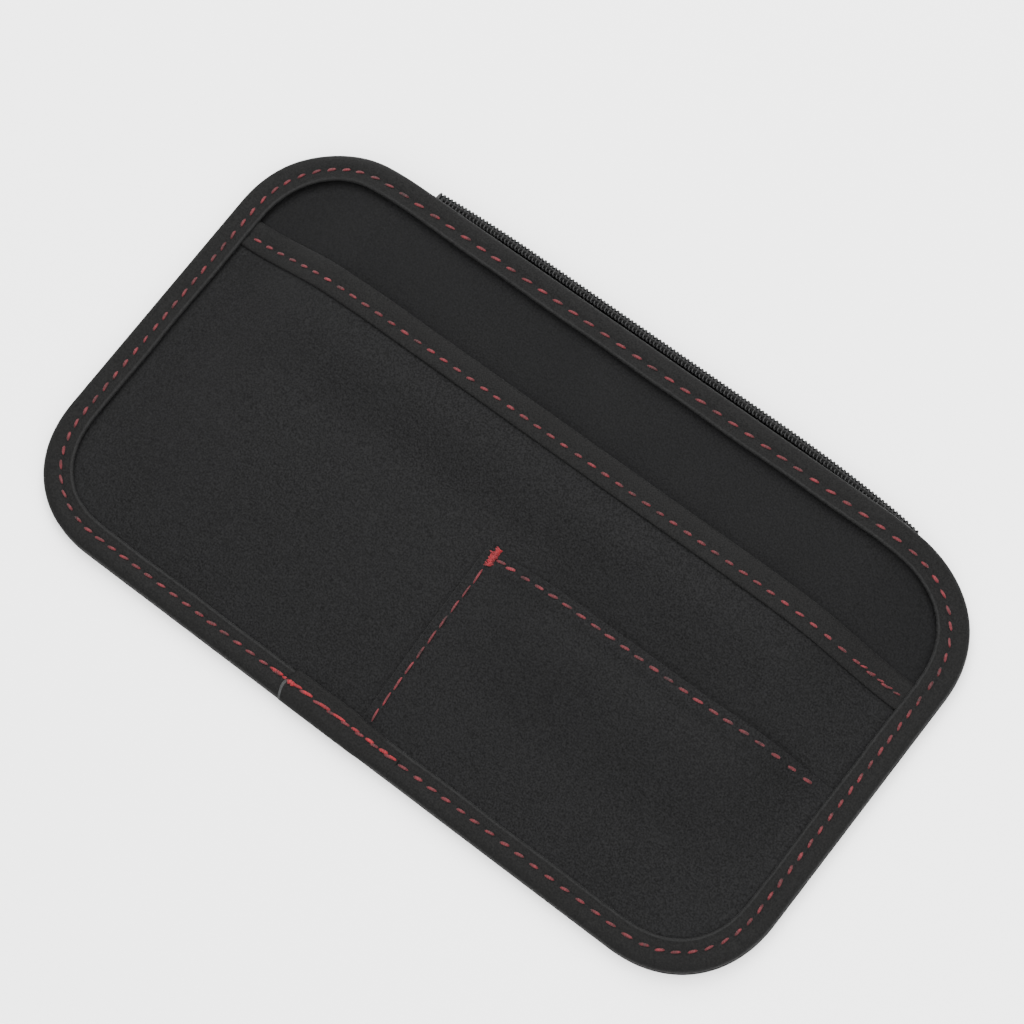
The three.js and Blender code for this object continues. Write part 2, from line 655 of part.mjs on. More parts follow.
function addSlider() {
  const tail = PARKED_X - SLIDER_HALF;
  const head = PARKED_X + SLIDER_HALF;
  const wide = SLIDER_WIDTH / 2;
  const narrow = SLIDER_TAIL_WIDTH / 2;
  const outline = (inset) => [
    [tail + inset, ZIP_Z - narrow + inset + 0.5],
    [tail + inset + 0.5, ZIP_Z - narrow + inset],
    [PARKED_X, ZIP_Z - narrow + inset],
    [head - 2.2, ZIP_Z - wide + inset],
    [head - inset - 0.6, ZIP_Z - wide + inset],
    [head - inset, ZIP_Z - wide + inset + 0.6],
    [head - inset, ZIP_Z + wide - inset - 0.6],
    [head - inset - 0.6, ZIP_Z + wide - inset],
    [head - 2.2, ZIP_Z + wide - inset],
    [PARKED_X, ZIP_Z + narrow - inset],
    [tail + inset + 0.5, ZIP_Z + narrow - inset],
    [tail + inset, ZIP_Z + narrow - inset - 0.5],
  ];
  const inner = ZIP_Y - CHANNEL / 2;
  const outer = ZIP_Y + CHANNEL / 2;
  const plates = [
    plateAcrossY(outline(0), inner - SLIDER_PLATE, inner),
    plateAcrossY(outline(0), outer, outer + SLIDER_PLATE),
  ];
  const neck = plateAcrossY([
    [head - NECK_LENGTH, ZIP_Z],
    [head - NECK_LENGTH / 2, ZIP_Z - NECK_WIDTH / 2],
    [head - 0.2, ZIP_Z - NECK_WIDTH / 2],
    [head - 0.2, ZIP_Z + NECK_WIDTH / 2],
    [head - NECK_LENGTH / 2, ZIP_Z + NECK_WIDTH / 2],
  ], inner - 0.1, outer + 0.1);
  add('slider_body', joined(...plates, neck), GUNMETAL());

  // the bail is a bridge along X on the outer plate, and the tab's crossbar passes under it
  const deck = outer + SLIDER_PLATE;
  const pivotY = deck + PIVOT_GAP + TAB_BAR / 2;
  const under = pivotY + TAB_BAR / 2 + PIVOT_GAP;
  const bailZ = [ZIP_Z - BAIL_WIDTH / 2, ZIP_Z + BAIL_WIDTH / 2];
  const x0 = PARKED_X - BAIL_LENGTH / 2;
  const x1 = PARKED_X + BAIL_LENGTH / 2;
  const bridge = box(x0, x1, deck + FIT_GAP / 2, under + BAIL_THICKNESS, ...bailZ);
  const span = TAB_BAR / 2 + PIVOT_GAP;
  const hole = box(PARKED_X - span, PARKED_X + span, deck - 1, under, bailZ[0] - 1, bailZ[1] + 1);
  add('slider_bail', cut(bridge, hole), GUNMETAL());

  const halfTab = TAB_THICKNESS / 2;
  const tabEnd = PARKED_X + TAB_LENGTH;
  const tabZ = [ZIP_Z - TAB_WIDTH / 2, ZIP_Z + TAB_WIDTH / 2];
  const plate = box(PARKED_X, tabEnd, pivotY - halfTab, pivotY + halfTab, ...tabZ);
  const eyeZ = [bailZ[0] - PIVOT_GAP, bailZ[1] + PIVOT_GAP];
  const eyeEnd = PARKED_X + TAB_EYE + TAB_BAR / 2;
  const eye = box(PARKED_X - 2, eyeEnd, pivotY - 2, pivotY + 2, ...eyeZ);
  const bar = new THREE.CylinderGeometry(TAB_BAR / 2, TAB_BAR / 2, TAB_WIDTH, 20);
  bar.rotateX(Math.PI / 2);
  bar.translate(PARKED_X, pivotY, ZIP_Z);
  add('pull_tab', joined(cut(plate, eye), bar), GUNMETAL());
}

addBack();
addFront();
addSlotPocket();
addSmallPocket();
addThreads();
addTape('zip_tape_front', (t) => onPanel(FRONT_TAPE_Z + t));
addTape('zip_tape_back', (t) => level(BACK_TAPE_Z + t));
add('zip_coil_front', coilRow(1), COIL_BLACK());
add('zip_coil_back', coilRow(-1), COIL_BLACK());
addStops();
addSlider();

export default pouch;
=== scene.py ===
"""The looks of the organiser pouch: soft sheets, bound edges, single stitches and a coil zip."""

import bmesh
import bpy
import numpy as np
from mathutils import Matrix, Vector


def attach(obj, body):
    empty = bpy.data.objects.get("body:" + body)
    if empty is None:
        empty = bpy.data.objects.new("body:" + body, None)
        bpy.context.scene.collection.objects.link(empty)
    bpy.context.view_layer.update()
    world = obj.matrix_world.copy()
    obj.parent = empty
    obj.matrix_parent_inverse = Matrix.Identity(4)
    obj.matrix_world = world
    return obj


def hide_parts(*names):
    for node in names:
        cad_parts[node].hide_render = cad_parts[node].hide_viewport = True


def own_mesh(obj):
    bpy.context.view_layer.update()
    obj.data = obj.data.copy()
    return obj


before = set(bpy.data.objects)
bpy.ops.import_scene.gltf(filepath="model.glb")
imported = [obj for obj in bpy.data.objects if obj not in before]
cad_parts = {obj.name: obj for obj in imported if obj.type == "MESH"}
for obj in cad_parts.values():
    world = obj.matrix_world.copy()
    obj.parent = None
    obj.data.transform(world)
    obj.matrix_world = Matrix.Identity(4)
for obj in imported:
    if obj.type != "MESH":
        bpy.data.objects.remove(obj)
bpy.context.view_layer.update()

# ---------------------------------------------------------------- sizes, in mm, as in the CAD

# The outline, the sheets and the binding round them. An inset is measured inwards from the outline.
LENGTH = 232.0
HEIGHT = 130.4
HALF_LENGTH = LENGTH / 2
HALF_HEIGHT = HEIGHT / 2
CORNER_RADIUS = 30.0
CORNER_POWER = 2.2
SHEET = 0.5
LINING = 0.3
BINDING_WIDTH = 8.1
SHEET_INSET = 2.5
SEAM_INSET = 4.8
INNER_X = HALF_LENGTH - BINDING_WIDTH
INNER_Y = HALF_HEIGHT - BINDING_WIDTH

# Undersides of the layers, before the front is lifted
BACK_LINING_Z = 1.34
FRONT_LINING_Z = 1.88
FRONT_PANEL_Z = 2.30
SLOT_Z = 2.92
OVER_SLOT_Z = 3.54
STITCH_BED_Z = 4.62

# How the open mouth lifts the front, and how both pockets stand open
GAPE = 8.5
DOME_RUN = 62.0
SHOULDER = 34.0
SHOULDER_START = HALF_LENGTH - 6 - SHOULDER
SLOT_MOUTH_Y = HALF_HEIGHT - 31
SLOT_GAPE = 4.5
SLOT_GAPE_RISE = 20.0
SLOT_FULL_GAPE_BELOW_HEM = 6.0
SLOT_SHOULDER = 45.0
GAPE_INSIDE_BINDING = 3.0
HEM_WIDTH = 8.3
HEM_SEAM = 5.0
HEM_HALF_LENGTH = 109.9
HEM_GROOVE_Z = 3.98
SMALL_LEFT_X = HALF_LENGTH - 115.4
SMALL_TOP_Y = 65.4 - HALF_HEIGHT
SMALL_DROOP = 2.2
SMALL_DROOP_RUN = 38.0
SMALL_GAPE = 5.0
SMALL_GAPE_RISE = 26.0
SMALL_FULL_GAPE_BELOW_MOUTH = 12.0
SMALL_SHOULDER = 22.0
SMALL_SIDE_SEAM = 3.15
SMALL_SEAM_X = SMALL_LEFT_X + SMALL_SIDE_SEAM
SMALL_MOUTH_SEAM = 2.3
SMALL_HEM_RISE = 0.55
SMALL_SEAM_DEPTH = 0.22

# The zip. The slider is parked at the left, where the mouth is open.
TAPE = 0.4
TAPE_ROOT_Y = HALF_HEIGHT - 7.4
FRONT_TAPE_Z = 1.30
BACK_TAPE_Z = 1.82
COIL_WIDTH = 2.2
COIL_THICKNESS = 1.5
COIL_PROUD = 3.3
COIL_TAPER = 2.9
COIL_PITCH = 1.15
COIL_ACROSS = 3.1
WIRE = 0.4
COIL_TO_TAPE = 0.06
MESHED_HALF_GAP = 1.2
PARTED_HALF_GAP = 1.95
FANS_OUT_OVER = 5.5
ZIP_Y = HALF_HEIGHT - 3.5
ZIP_Z = 5.2
PARKED_X = -(SHOULDER_START + 6)
SLIDER_HALF = 5.1
SHUT_X = SHOULDER_START + 2.5
SHIFT_Y = COIL_PROUD / 2

rng = np.random.default_rng(7)

# ---------------------------------------------------------------- surfaces


def smooth(t):
    """0 to 1 with level ends, as t goes from 0 to 1."""
    s = np.clip(t, 0, 1)
    return s * s * (3 - 2 * s)


def lift(x, y):
    """How far the front stands off the back: most at the middle of the mouth."""
    across = 1 - smooth((np.abs(x) - SHOULDER_START) / SHOULDER)
    run = np.clip((y + INNER_Y) / DOME_RUN, 0, 1)
    return GAPE * across * np.sin(np.pi / 2 * run)


def slot_gape(x, y):
    """How far the slot pocket's mouth stands off the front panel."""
    across = 1 - smooth((np.abs(x) - (INNER_X - GAPE_INSIDE_BINDING - SLOT_SHOULDER)) / SLOT_SHOULDER)
    start = SLOT_MOUTH_Y - HEM_WIDTH - SLOT_FULL_GAPE_BELOW_HEM - SLOT_GAPE_RISE
    return SLOT_GAPE * across * smooth((y - start) / SLOT_GAPE_RISE)


def small_gape(x, y):
    """How far the small pocket's mouth stands off the slot pocket."""
    left = smooth((x - SMALL_SEAM_X - 2) / SMALL_SHOULDER)
    right = smooth((INNER_X - GAPE_INSIDE_BINDING - x) / SMALL_SHOULDER)
    start = SMALL_TOP_Y - SMALL_FULL_GAPE_BELOW_MOUTH - SMALL_GAPE_RISE
    return SMALL_GAPE * left * right * smooth((y - start) / SMALL_GAPE_RISE)


def small_mouth_y(x):
    """The small pocket's top edge, which rises a little next to the binding."""
    return SMALL_TOP_Y - SMALL_DROOP * (1 - smooth((x - (INNER_X - SMALL_DROOP_RUN)) / SMALL_DROOP_RUN))


def on_slot(x, y):
    return lift(x, y) + slot_gape(x, y)


def on_small(x, y):
    return on_slot(x, y) + small_gape(x, y)


def level(x, y):
    """The back isn't lifted."""
    return np.zeros(np.broadcast(x, y).shape)


def outline_y(x, inset):
    """Half height of the outline at x; its corners are superellipses."""
    radius = CORNER_RADIUS - inset
    past = np.clip((np.abs(x) - (HALF_LENGTH - CORNER_RADIUS)) / radius, 0, 1)
    share = np.maximum(1 - past**CORNER_POWER, 0) ** (1 / CORNER_POWER)
    return HALF_HEIGHT - CORNER_RADIUS + radius * share


# ---------------------------------------------------------------- mesh helpers


def to_row(points):
    """Millimetres of the pouch's own centre to metres of the shared frame."""
    p = np.asarray(points, float).reshape(-1, 3).copy()
    p[:, 1] -= SHIFT_Y
    return p / 1000


def make_object(name, points, faces, look):
    """A smooth-shaded piece with its normals facing outwards."""
    mesh = bpy.data.meshes.new(name)
    mesh.from_pydata(to_row(points).tolist(), [], [tuple(map(int, f)) for f in faces])
    bm = bmesh.new()
    bm.from_mesh(mesh)
    bmesh.ops.recalc_face_normals(bm, faces=bm.faces)
    bm.to_mesh(mesh)
    bm.free()
    mesh.polygons.foreach_set("use_smooth", [True] * len(mesh.polygons))
    mesh.materials.append(look)
    made = bpy.data.objects.new(name, mesh)
    bpy.context.scene.collection.objects.link(made)
    return made


def grid_faces(rows, columns, wrap_rows=False, wrap_columns=False, start=0):
    """Four-sided faces of a grid of points, numbered row by row from start."""
    i = np.arange(rows if wrap_rows else rows - 1)
    j = np.arange(columns if wrap_columns else columns - 1)
    a, b = np.meshgrid(i, j, indexing="ij")
    c, d = (a + 1) % rows, (b + 1) % columns
    quads = np.stack([a * columns + b, a * columns + d, c * columns + d, c * columns + b], -1)
    return quads.reshape(-1, 4) + start


def loft(name, rings, look, closed=True):
    """A skin through equal rings of points; an open one has flat ends."""
    rings = np.asarray(rings, float)
    n, m = rings.shape[:2]
    faces = grid_faces(n, m, wrap_rows=closed, wrap_columns=True).tolist()
    if not closed:
        faces += [list(range(m))[::-1], list(range((n - 1) * m, n * m))]
    return make_object(name, rings.reshape(-1, 3), faces, look)


def sheet_points(xs, y_rows, z_low, z_high):
    """Two skins over the same grid, and their faces joined round the rim."""
    n, m = y_rows.shape
    x = np.repeat(xs[:, None], m, 1)
    low = np.stack([x, y_rows, z_low], -1)
    high = np.stack([x, y_rows, z_high], -1)
    faces = grid_faces(n, m).tolist()
    size = n * m
    faces += (grid_faces(n, m)[:, ::-1] + size).tolist()
    rim = [i * m for i in range(n)] + [(n - 1) * m + k for k in range(1, m)]
    rim += [i * m + m - 1 for i in range(n - 2, -1, -1)] + list(range(m - 2, 0, -1))
    for a, b in zip(rim, rim[1:] + rim[:1]):
        faces.append([a, b, b + size, a + size])
    return np.concatenate([low.reshape(-1, 3), high.reshape(-1, 3)]), faces


# ---------------------------------------------------------------- materials

# The relief's depth in metres, and the repeat in mm of a wave texture whose scale is 1
RELIEF_DEPTH = 0.0001
MM_PER_WAVE = 314


def new_material(name):
    """A material with its node tree and main shader."""
    look = bpy.data.materials.new(name)
    look.use_nodes = True
    tree = look.node_tree
    shader = tree.nodes["Principled BSDF"]
    return look, tree, shader


def node(tree, kind, **inputs):
    """A shader node with its inputs set by name."""
    made = tree.nodes.new(kind)
    for key, value in inputs.items():
        made.inputs[key.replace("_", " ")].default_value = value
    return made


def mapped_range(tree, source, low, high, from_low=0.3, from_high=0.7):
    """Stretch the middle of a texture's range to low..high."""
    made = node(tree, "ShaderNodeMapRange")
    made.inputs["From Min"].default_value = from_low
    made.inputs["From Max"].default_value = from_high
    made.inputs["To Min"].default_value = low
    made.inputs["To Max"].default_value = high
    tree.links.new(source, made.inputs["Value"])
    return made.outputs["Result"]


def two_tones(tree, factor, dark, light):
    """A colour between dark and light, by a 0 to 1 factor."""
    mix = tree.nodes.new("ShaderNodeMix")
    mix.data_type = "RGBA"
    mix.inputs["A"].default_value = (*dark, 1)
    mix.inputs["B"].default_value = (*light, 1)
    tree.links.new(factor, mix.inputs["Factor"])
    return mix.outputs["Result"]


def grained(name, dark, light, roughness, grain_mm, bump, sheen=0.0, specular=0.13):
    """Coated sheet with a pebbled grain, faint cloudy tone and uneven gloss."""
    look, tree, shader = new_material(name)
    place = tree.nodes.new("ShaderNodeTexCoord").outputs["Object"]
    pebbles = node(tree, "ShaderNodeTexVoronoi", Scale=1000 / grain_mm)
    pebbles.feature = "SMOOTH_F1"
    pebbles.inputs["Smoothness"].default_value = 0.6
    fine = node(tree, "ShaderNodeTexNoise", Scale=1900 / grain_mm, Detail=4.0)
    cloud = node(tree, "ShaderNodeTexNoise", Scale=55.0, Detail=5.0)
    for texture in (pebbles, fine, cloud):
        tree.links.new(place, texture.inputs["Vector"])
    height = tree.nodes.new("ShaderNodeMath")
    height.operation = "MULTIPLY_ADD"
    height.inputs[1].default_value = 0.55
    tree.links.new(fine.outputs["Fac"], height.inputs[0])
    tree.links.new(pebbles.outputs["Distance"], height.inputs[2])
    relief = node(tree, "ShaderNodeBump", Strength=bump, Distance=RELIEF_DEPTH)
    tree.links.new(height.outputs[0], relief.inputs["Height"])
    tree.links.new(relief.outputs["Normal"], shader.inputs["Normal"])
    tone = tree.nodes.new("ShaderNodeMath")
    tone.operation = "MULTIPLY_ADD"
    tone.inputs[1].default_value = 0.9
    tree.links.new(mapped_range(tree, fine.outputs["Fac"], 0.0, 1.0, 0.34, 0.66), tone.inputs[0])
    tree.links.new(mapped_range(tree, cloud.outputs["Fac"], 0.0, 0.25), tone.inputs[2])
    tree.links.new(two_tones(tree, tone.outputs[0], dark, light), shader.inputs["Base Color"])
    gloss = mapped_range(tree, cloud.outputs["Fac"], roughness - 0.05, roughness + 0.06)
    tree.links.new(gloss, shader.inputs["Roughness"])
    shader.inputs["Specular IOR Level"].default_value = specular
    shader.inputs["Sheen Weight"].default_value = sheen
    shader.inputs["Sheen Roughness"].default_value = 0.3
    return look


def woven(name, dark, light, yarn_mm, bump, roughness=0.85):
    """Plain weave: two crossing sets of waves, one per yarn direction."""
    look, tree, shader = new_material(name)
    place = tree.nodes.new("ShaderNodeTexCoord").outputs["Object"]
    heights = []
    for direction in ("X", "Y"):
        wave = node(tree, "ShaderNodeTexWave", Scale=MM_PER_WAVE / yarn_mm, Distortion=0.6)
        wave.bands_direction = direction
        tree.links.new(place, wave.inputs["Vector"])
        heights.append(wave.outputs["Fac"])
    both = tree.nodes.new("ShaderNodeMath")
    both.operation = "MULTIPLY"
    tree.links.new(heights[0], both.inputs[0])
    tree.links.new(heights[1], both.inputs[1])
    relief = node(tree, "ShaderNodeBump", Strength=bump, Distance=RELIEF_DEPTH)
    tree.links.new(both.outputs[0], relief.inputs["Height"])
    tree.links.new(relief.outputs["Normal"], shader.inputs["Normal"])
    tree.links.new(two_tones(tree, both.outputs[0], dark, light), shader.inputs["Base Color"])
    shader.inputs["Roughness"].default_value = roughness
    shader.inputs["Specular IOR Level"].default_value = 0.15
    return look


def threadlike(name, dark, light, roughness=0.55):
    """Twisted thread: fine slanting plies, with each stitch a little different."""
    look, tree, shader = new_material(name)
    place = tree.nodes.new("ShaderNodeTexCoord").outputs["Object"]
    plies = node(tree, "ShaderNodeTexWave", Scale=900.0, Distortion=1.5)
    plies.bands_direction = "DIAGONAL"
    uneven = node(tree, "ShaderNodeTexNoise", Scale=420.0, Detail=4.0)
    for texture in (plies, uneven):
        tree.links.new(place, texture.inputs["Vector"])
    relief = node(tree, "ShaderNodeBump", Strength=0.5, Distance=RELIEF_DEPTH)
    tree.links.new(plies.outputs["Fac"], relief.inputs["Height"])
    tree.links.new(relief.outputs["Normal"], shader.inputs["Normal"])
    factor = mapped_range(tree, uneven.outputs["Fac"], 0.0, 1.0)
    tree.links.new(two_tones(tree, factor, dark, light), shader.inputs["Base Color"])
    shader.inputs["Roughness"].default_value = roughness
    shader.inputs["Specular IOR Level"].default_value = 0.2
    shader.inputs["Sheen Weight"].default_value = 0.08
    return look


def smooth_solid(name, dark, light, roughness, metallic=0.0, noise=300.0, specular=None):
    """Moulded, painted or pressed stuff with slightly uneven tone and gloss."""
    look, tree, shader = new_material(name)
    place = tree.nodes.new("ShaderNodeTexCoord").outputs["Object"]
    uneven = node(tree, "ShaderNodeTexNoise", Scale=noise, Detail=5.0)
    tree.links.new(place, uneven.inputs["Vector"])
    factor = mapped_range(tree, uneven.outputs["Fac"], 0.0, 1.0)
    tree.links.new(two_tones(tree, factor, dark, light), shader.inputs["Base Color"])
    gloss = mapped_range(tree, uneven.outputs["Fac"], roughness - 0.06, roughness + 0.08)
    tree.links.new(gloss, shader.inputs["Roughness"])
    relief = node(tree, "ShaderNodeBump", Strength=0.08, Distance=RELIEF_DEPTH)
    tree.links.new(uneven.outputs["Fac"], relief.inputs["Height"])
    tree.links.new(relief.outputs["Normal"], shader.inputs["Normal"])
    shader.inputs["Metallic"].default_value = metallic
    if specular is not None:
        shader.inputs["Specular IOR Level"].default_value = specular
    return look


PANEL = grained(
    "panel_black", (0.0002, 0.0002, 0.00022), (0.0066, 0.0066, 0.0068),
    roughness=0.8, grain_mm=0.85, bump=1.0, sheen=0.04, specular=0.095,
)  # fmt: skip
# A darker copy of the panel's material for the front panel above the slot pocket: painted shade under the
# lip.
UPPER_PAINTED_SHADE = grained(
    "panel_black_painted_shade", (0.0005, 0.0005, 0.00055), (0.0046, 0.0046, 0.0048),
    roughness=0.82, grain_mm=0.8, bump=0.9, sheen=0.03, specular=0.1,
)  # fmt: skip
EDGE = grained(
    "binding_black", (0.0009, 0.0009, 0.0009), (0.0056, 0.0055, 0.0054),
    roughness=0.78, grain_mm=0.7, bump=1.0, sheen=0.035, specular=0.1,
)  # fmt: skip
# A lighter copy of the binding's material: a painted highlight on the front binding's rolled inner fold
# and on the small pocket's left fold.
FOLD_PAINTED_HIGHLIGHT = grained(
    "fold_painted_highlight", (0.0014, 0.0014, 0.0014), (0.0078, 0.0078, 0.0077),
    roughness=0.7, grain_mm=0.7, bump=0.8, sheen=0.05, specular=0.11,
)  # fmt: skip
# The strip's raw cut end: its own paler backing, lightened further as a painted highlight.
CUT_EDGE_AND_HIGHLIGHT = grained(
    "binding_cut_and_highlight", (0.012, 0.0124, 0.0124), (0.036, 0.037, 0.037),
    roughness=0.8, grain_mm=0.4, bump=0.6, sheen=0.05,
)  # fmt: skip
LINER = woven("lining_weave", (0.004, 0.004, 0.0045), (0.01, 0.01, 0.011), yarn_mm=0.35, bump=0.4)
WEBBING = woven("tape_weave", (0.002, 0.002, 0.0022), (0.006, 0.006, 0.0065), yarn_mm=0.5, bump=0.6)
RED = threadlike("red_thread", (0.012, 0.0009, 0.0014), (0.092, 0.006, 0.0098))
RED_BRIGHT = threadlike("red_thread_doubled", (0.03, 0.0005, 0.001), (0.19, 0.003, 0.008))
BLACK_THREAD = threadlike("coil_thread", (0.0003, 0.0003, 0.0003), (0.0012, 0.0012, 0.0013), roughness=0.9)
NYLON = smooth_solid(
    "coil_nylon", (0.0005, 0.0005, 0.0006), (0.0016, 0.0016, 0.0018),
    roughness=0.36, noise=900, specular=0.22,
)  # fmt: skip
LACQUER = smooth_solid(
    "black_lacquer", (0.02, 0.02, 0.022), (0.045, 0.045, 0.05), roughness=0.34, metallic=0.85
)
GREY_BOARD = smooth_solid("board_grey", (0.12, 0.12, 0.12), (0.2, 0.2, 0.2), roughness=0.8)

# ---------------------------------------------------------------- outline by arc length


def outline_run(step):
    """Evenly spaced places round the outline: centre, direction, and distance along the seam."""
    cx, cy = HALF_LENGTH - CORNER_RADIUS, HALF_HEIGHT - CORNER_RADIUS
    corner_points, side_points, end_points = 120, 60, 40
    rows = []
    for q, (sx, sy) in enumerate([(1, 1), (-1, 1), (-1, -1), (1, -1)]):
        t = np.linspace(0, np.pi / 2, corner_points)
        if q % 2:
            t = t[::-1]
        power = 2 / CORNER_POWER
        ux = sx * np.cos(t).clip(0) ** power
        uy = sy * np.sin(t).clip(0) ** power
        rows += [[sx * cx, sy * cy, a, b] for a, b in zip(ux, uy)]
        if q in (0, 2):
            rows += [[x, sy * cy, 0, sy] for x in np.linspace(sx * cx, -sx * cx, side_points)[1:-1]]
        else:
            rows += [[sx * cx, y, sx, 0] for y in np.linspace(sy * cy, -sy * cy, end_points)[1:-1]]
    rows = np.array(rows + rows[:1], float)
    seam = rows[:, :2] + rows[:, 2:] * (CORNER_RADIUS - SEAM_INSET)
    along = np.concatenate([[0], np.cumsum(np.hypot(*np.diff(seam, axis=0).T))])
    total = along[-1]
    count = round(total / step)
    at = np.arange(count) * total / count
    places = np.stack([np.interp(at, along, rows[:, k]) for k in range(4)], -1)
    return at, places, total


def inset_xy(places, d):
    """Places on the outline, moved inwards by d."""
    return places[:, :2] + places[:, 2:] * (CORNER_RADIUS - np.reshape(d, (-1, 1)))


# Pitch and length of the perimeter seam's stitches, which are longest on the lip. Along the bottom the
# pitch grows a little to the right.
LIP_STITCH = (5.2, 3.1)
END_STITCH = (4.15, 2.65)
BOTTOM_PITCH = 4.6
BOTTOM_PITCH_GROWTH = 0.4
BOTTOM_STITCH_LENGTH = 2.9
STRAIGHT_SEAM = 92.0
NEAR_EDGE = 8


def seam_pitch(x, y):
    """Stitch pitch and length of the perimeter seam at a place."""
    if y > HALF_HEIGHT - NEAR_EDGE and abs(x) < STRAIGHT_SEAM:
        return LIP_STITCH
    if y < -(HALF_HEIGHT - NEAR_EDGE) and abs(x) < STRAIGHT_SEAM:
        return BOTTOM_PITCH + BOTTOM_PITCH_GROWTH * x / STRAIGHT_SEAM, BOTTOM_STITCH_LENGTH
    return END_STITCH


def seam_stitches(at, places, total):
    """Middle and length of every stitch of the perimeter seam, by distance along it."""
    xy = inset_xy(places, SEAM_INSET)
    last_gap = 2.5
    stitches = []
    s = 1.0
    while s < total - last_gap:
        x = np.interp(s, at, xy[:, 0])
        y = np.interp(s, at, xy[:, 1])
        pitch, length = seam_pitch(x, y)
        stitches.append((s, length * (1 + 0.05 * rng.standard_normal())))
        s += pitch * (1 + 0.025 * rng.standard_normal())
    return np.array(stitches)


RUN_AT, RUN, RUN_TOTAL = outline_run(step=0.7)
SEAM = seam_stitches(RUN_AT, RUN, RUN_TOTAL)
HOLE_RADIUS = 0.62


def hole_dip(at):
    """1 at a needle hole, falling to 0 within about a millimetre."""
    holes = np.concatenate([SEAM[:, 0] - SEAM[:, 1] / 2, SEAM[:, 0] + SEAM[:, 1] / 2])
    gap = np.abs(at[:, None] - holes[None, :])
    gap = np.minimum(gap, RUN_TOTAL - gap).min(1)
    return np.exp(-((gap / HOLE_RADIUS) ** 2))


# ---------------------------------------------------------------- stitches


def stitch_points(middle, along, up, length, width, height):
    """A plump lens of thread whose two ends dip into the sheet."""
    side = np.cross(up, along)
    turn = np.linspace(0, 2 * np.pi, 9)[:-1]
    rings = []
    for u in np.linspace(-1, 1, 9):
        fat = max(1 - abs(u) ** 2.6, 0.02) ** 0.5
        rise = height * (0.42 - 0.75 * abs(u) ** 3)
        centre = middle + along * (u * length / 2) + up * rise
        ring = [
            centre + side * (np.cos(a) * fat * width / 2) + up * (np.sin(a) * fat * height / 2)
            for a in turn
        ]
        rings.append(ring)
    return np.array(rings)


def stitch_object(name, stitches, look):
    """One mesh of many stitches; each is (middle, along, up, length, width, height)."""
    points, faces = [], []
    for middle, along, up, length, width, height in stitches:
        rings = stitch_points(middle, along, up, length, width, height)
        n, m = rings.shape[:2]
        start = sum(len(p) for p in points)
        points.append(rings.reshape(-1, 3))
        faces += grid_faces(n, m, wrap_columns=True, start=start).tolist()
        faces.append([start + k for k in range(m)][::-1])
        faces.append([start + (n - 1) * m + k for k in range(m)])
    return make_object(name, np.concatenate(points), faces, look)


def unit(v):
    return v / np.linalg.norm(v)


def slanted(along, up, degrees):
    """A direction turned about up."""
    a = np.radians(degrees)
    return along * np.cos(a) + np.cross(up, along) * np.sin(a)


def surface_stitches(line, height_of, spans, width=0.8, height=0.46, slant=6.0, offset=0.0):
    """Stitches along a line on a surface, each turned by about slant degrees and a little uneven.

    line(s) gives x, y at a distance s, and spans are (middle, length) in s.
    """
    made = []
    for s, length in spans:
        ends = []
        for e in (s - length / 2, s + length / 2):
            x, y = line(e)
            ends.append(np.array([x, y, height_of(x, y)]))
        along = unit(ends[1] - ends[0])
        side = unit(np.cross([0, 0, 1], along))
        up = np.cross(along, side)
        x, y = line(s)
        middle = np.array([x, y, height_of(x, y)]) + side * offset
        turn = slant + 2.0 * rng.standard_normal()
        fat = width * (1 + 0.06 * rng.standard_normal())
        made.append((middle, slanted(along, up, turn), up, length, fat, height))
    return made


def even_spans(start, end, pitch, length):
    """Middle and length of stitches at an even pitch, each a little off."""
    count = max(int((end - start) / pitch), 1)
    middles = start + pitch * (np.arange(count) + 0.5)
    return [
        (m + 0.08 * rng.standard_normal(), length * (1 + 0.05 * rng.standard_normal()))
        for m in middles
    ]


# ---------------------------------------------------------------- bindings

# Sections of the folded strips, as inset and height. The front one runs from its leaf in the seam over
# the rim to the crown, the groove of the stitches at SEAM_INSET and the rolled inner fold.
FRONT_PROFILE = [
    (2.3, 1.86), (1.0, 1.84), (0.35, 2.0), (0.06, 2.45), (0.0, 3.1), (0.1, 3.75),
    (0.4, 4.3), (0.95, 4.68), (1.8, 4.92), (2.8, 4.98), (3.7, 4.9), (4.3, 4.74),
    (SEAM_INSET, STITCH_BED_Z), (5.3, 4.74), (5.9, 4.87), (6.45, 4.83), (6.9, 4.86), (7.35, 5.03),
    (7.8, 5.0), (8.08, 4.78), (8.17, 4.5), (8.1, 4.24), (7.8, 4.17), (5.0, 4.16), (2.5, 4.16), (2.35, 3.9),
]  # fmt: skip
BACK_PROFILE = [
    (8.1, 0.06), (8.12, 0.32), (7.95, 0.58), (7.6, 0.6), (2.4, 0.6), (2.3, 0.8),
    (2.3, 1.66), (1.0, 1.69), (0.4, 1.6), (0.08, 1.3), (0.0, 0.95), (0.1, 0.5),
    (0.45, 0.18), (1.1, 0.03), (2.5, 0.0), (3.9, 0.02), (4.5, 0.1), (4.8, 0.14),
    (5.1, 0.1), (5.7, 0.02), (6.8, 0.0), (7.7, 0.02),
]  # fmt: skip


HOLE_DEPTH = 0.24
PUCKER = 0.1


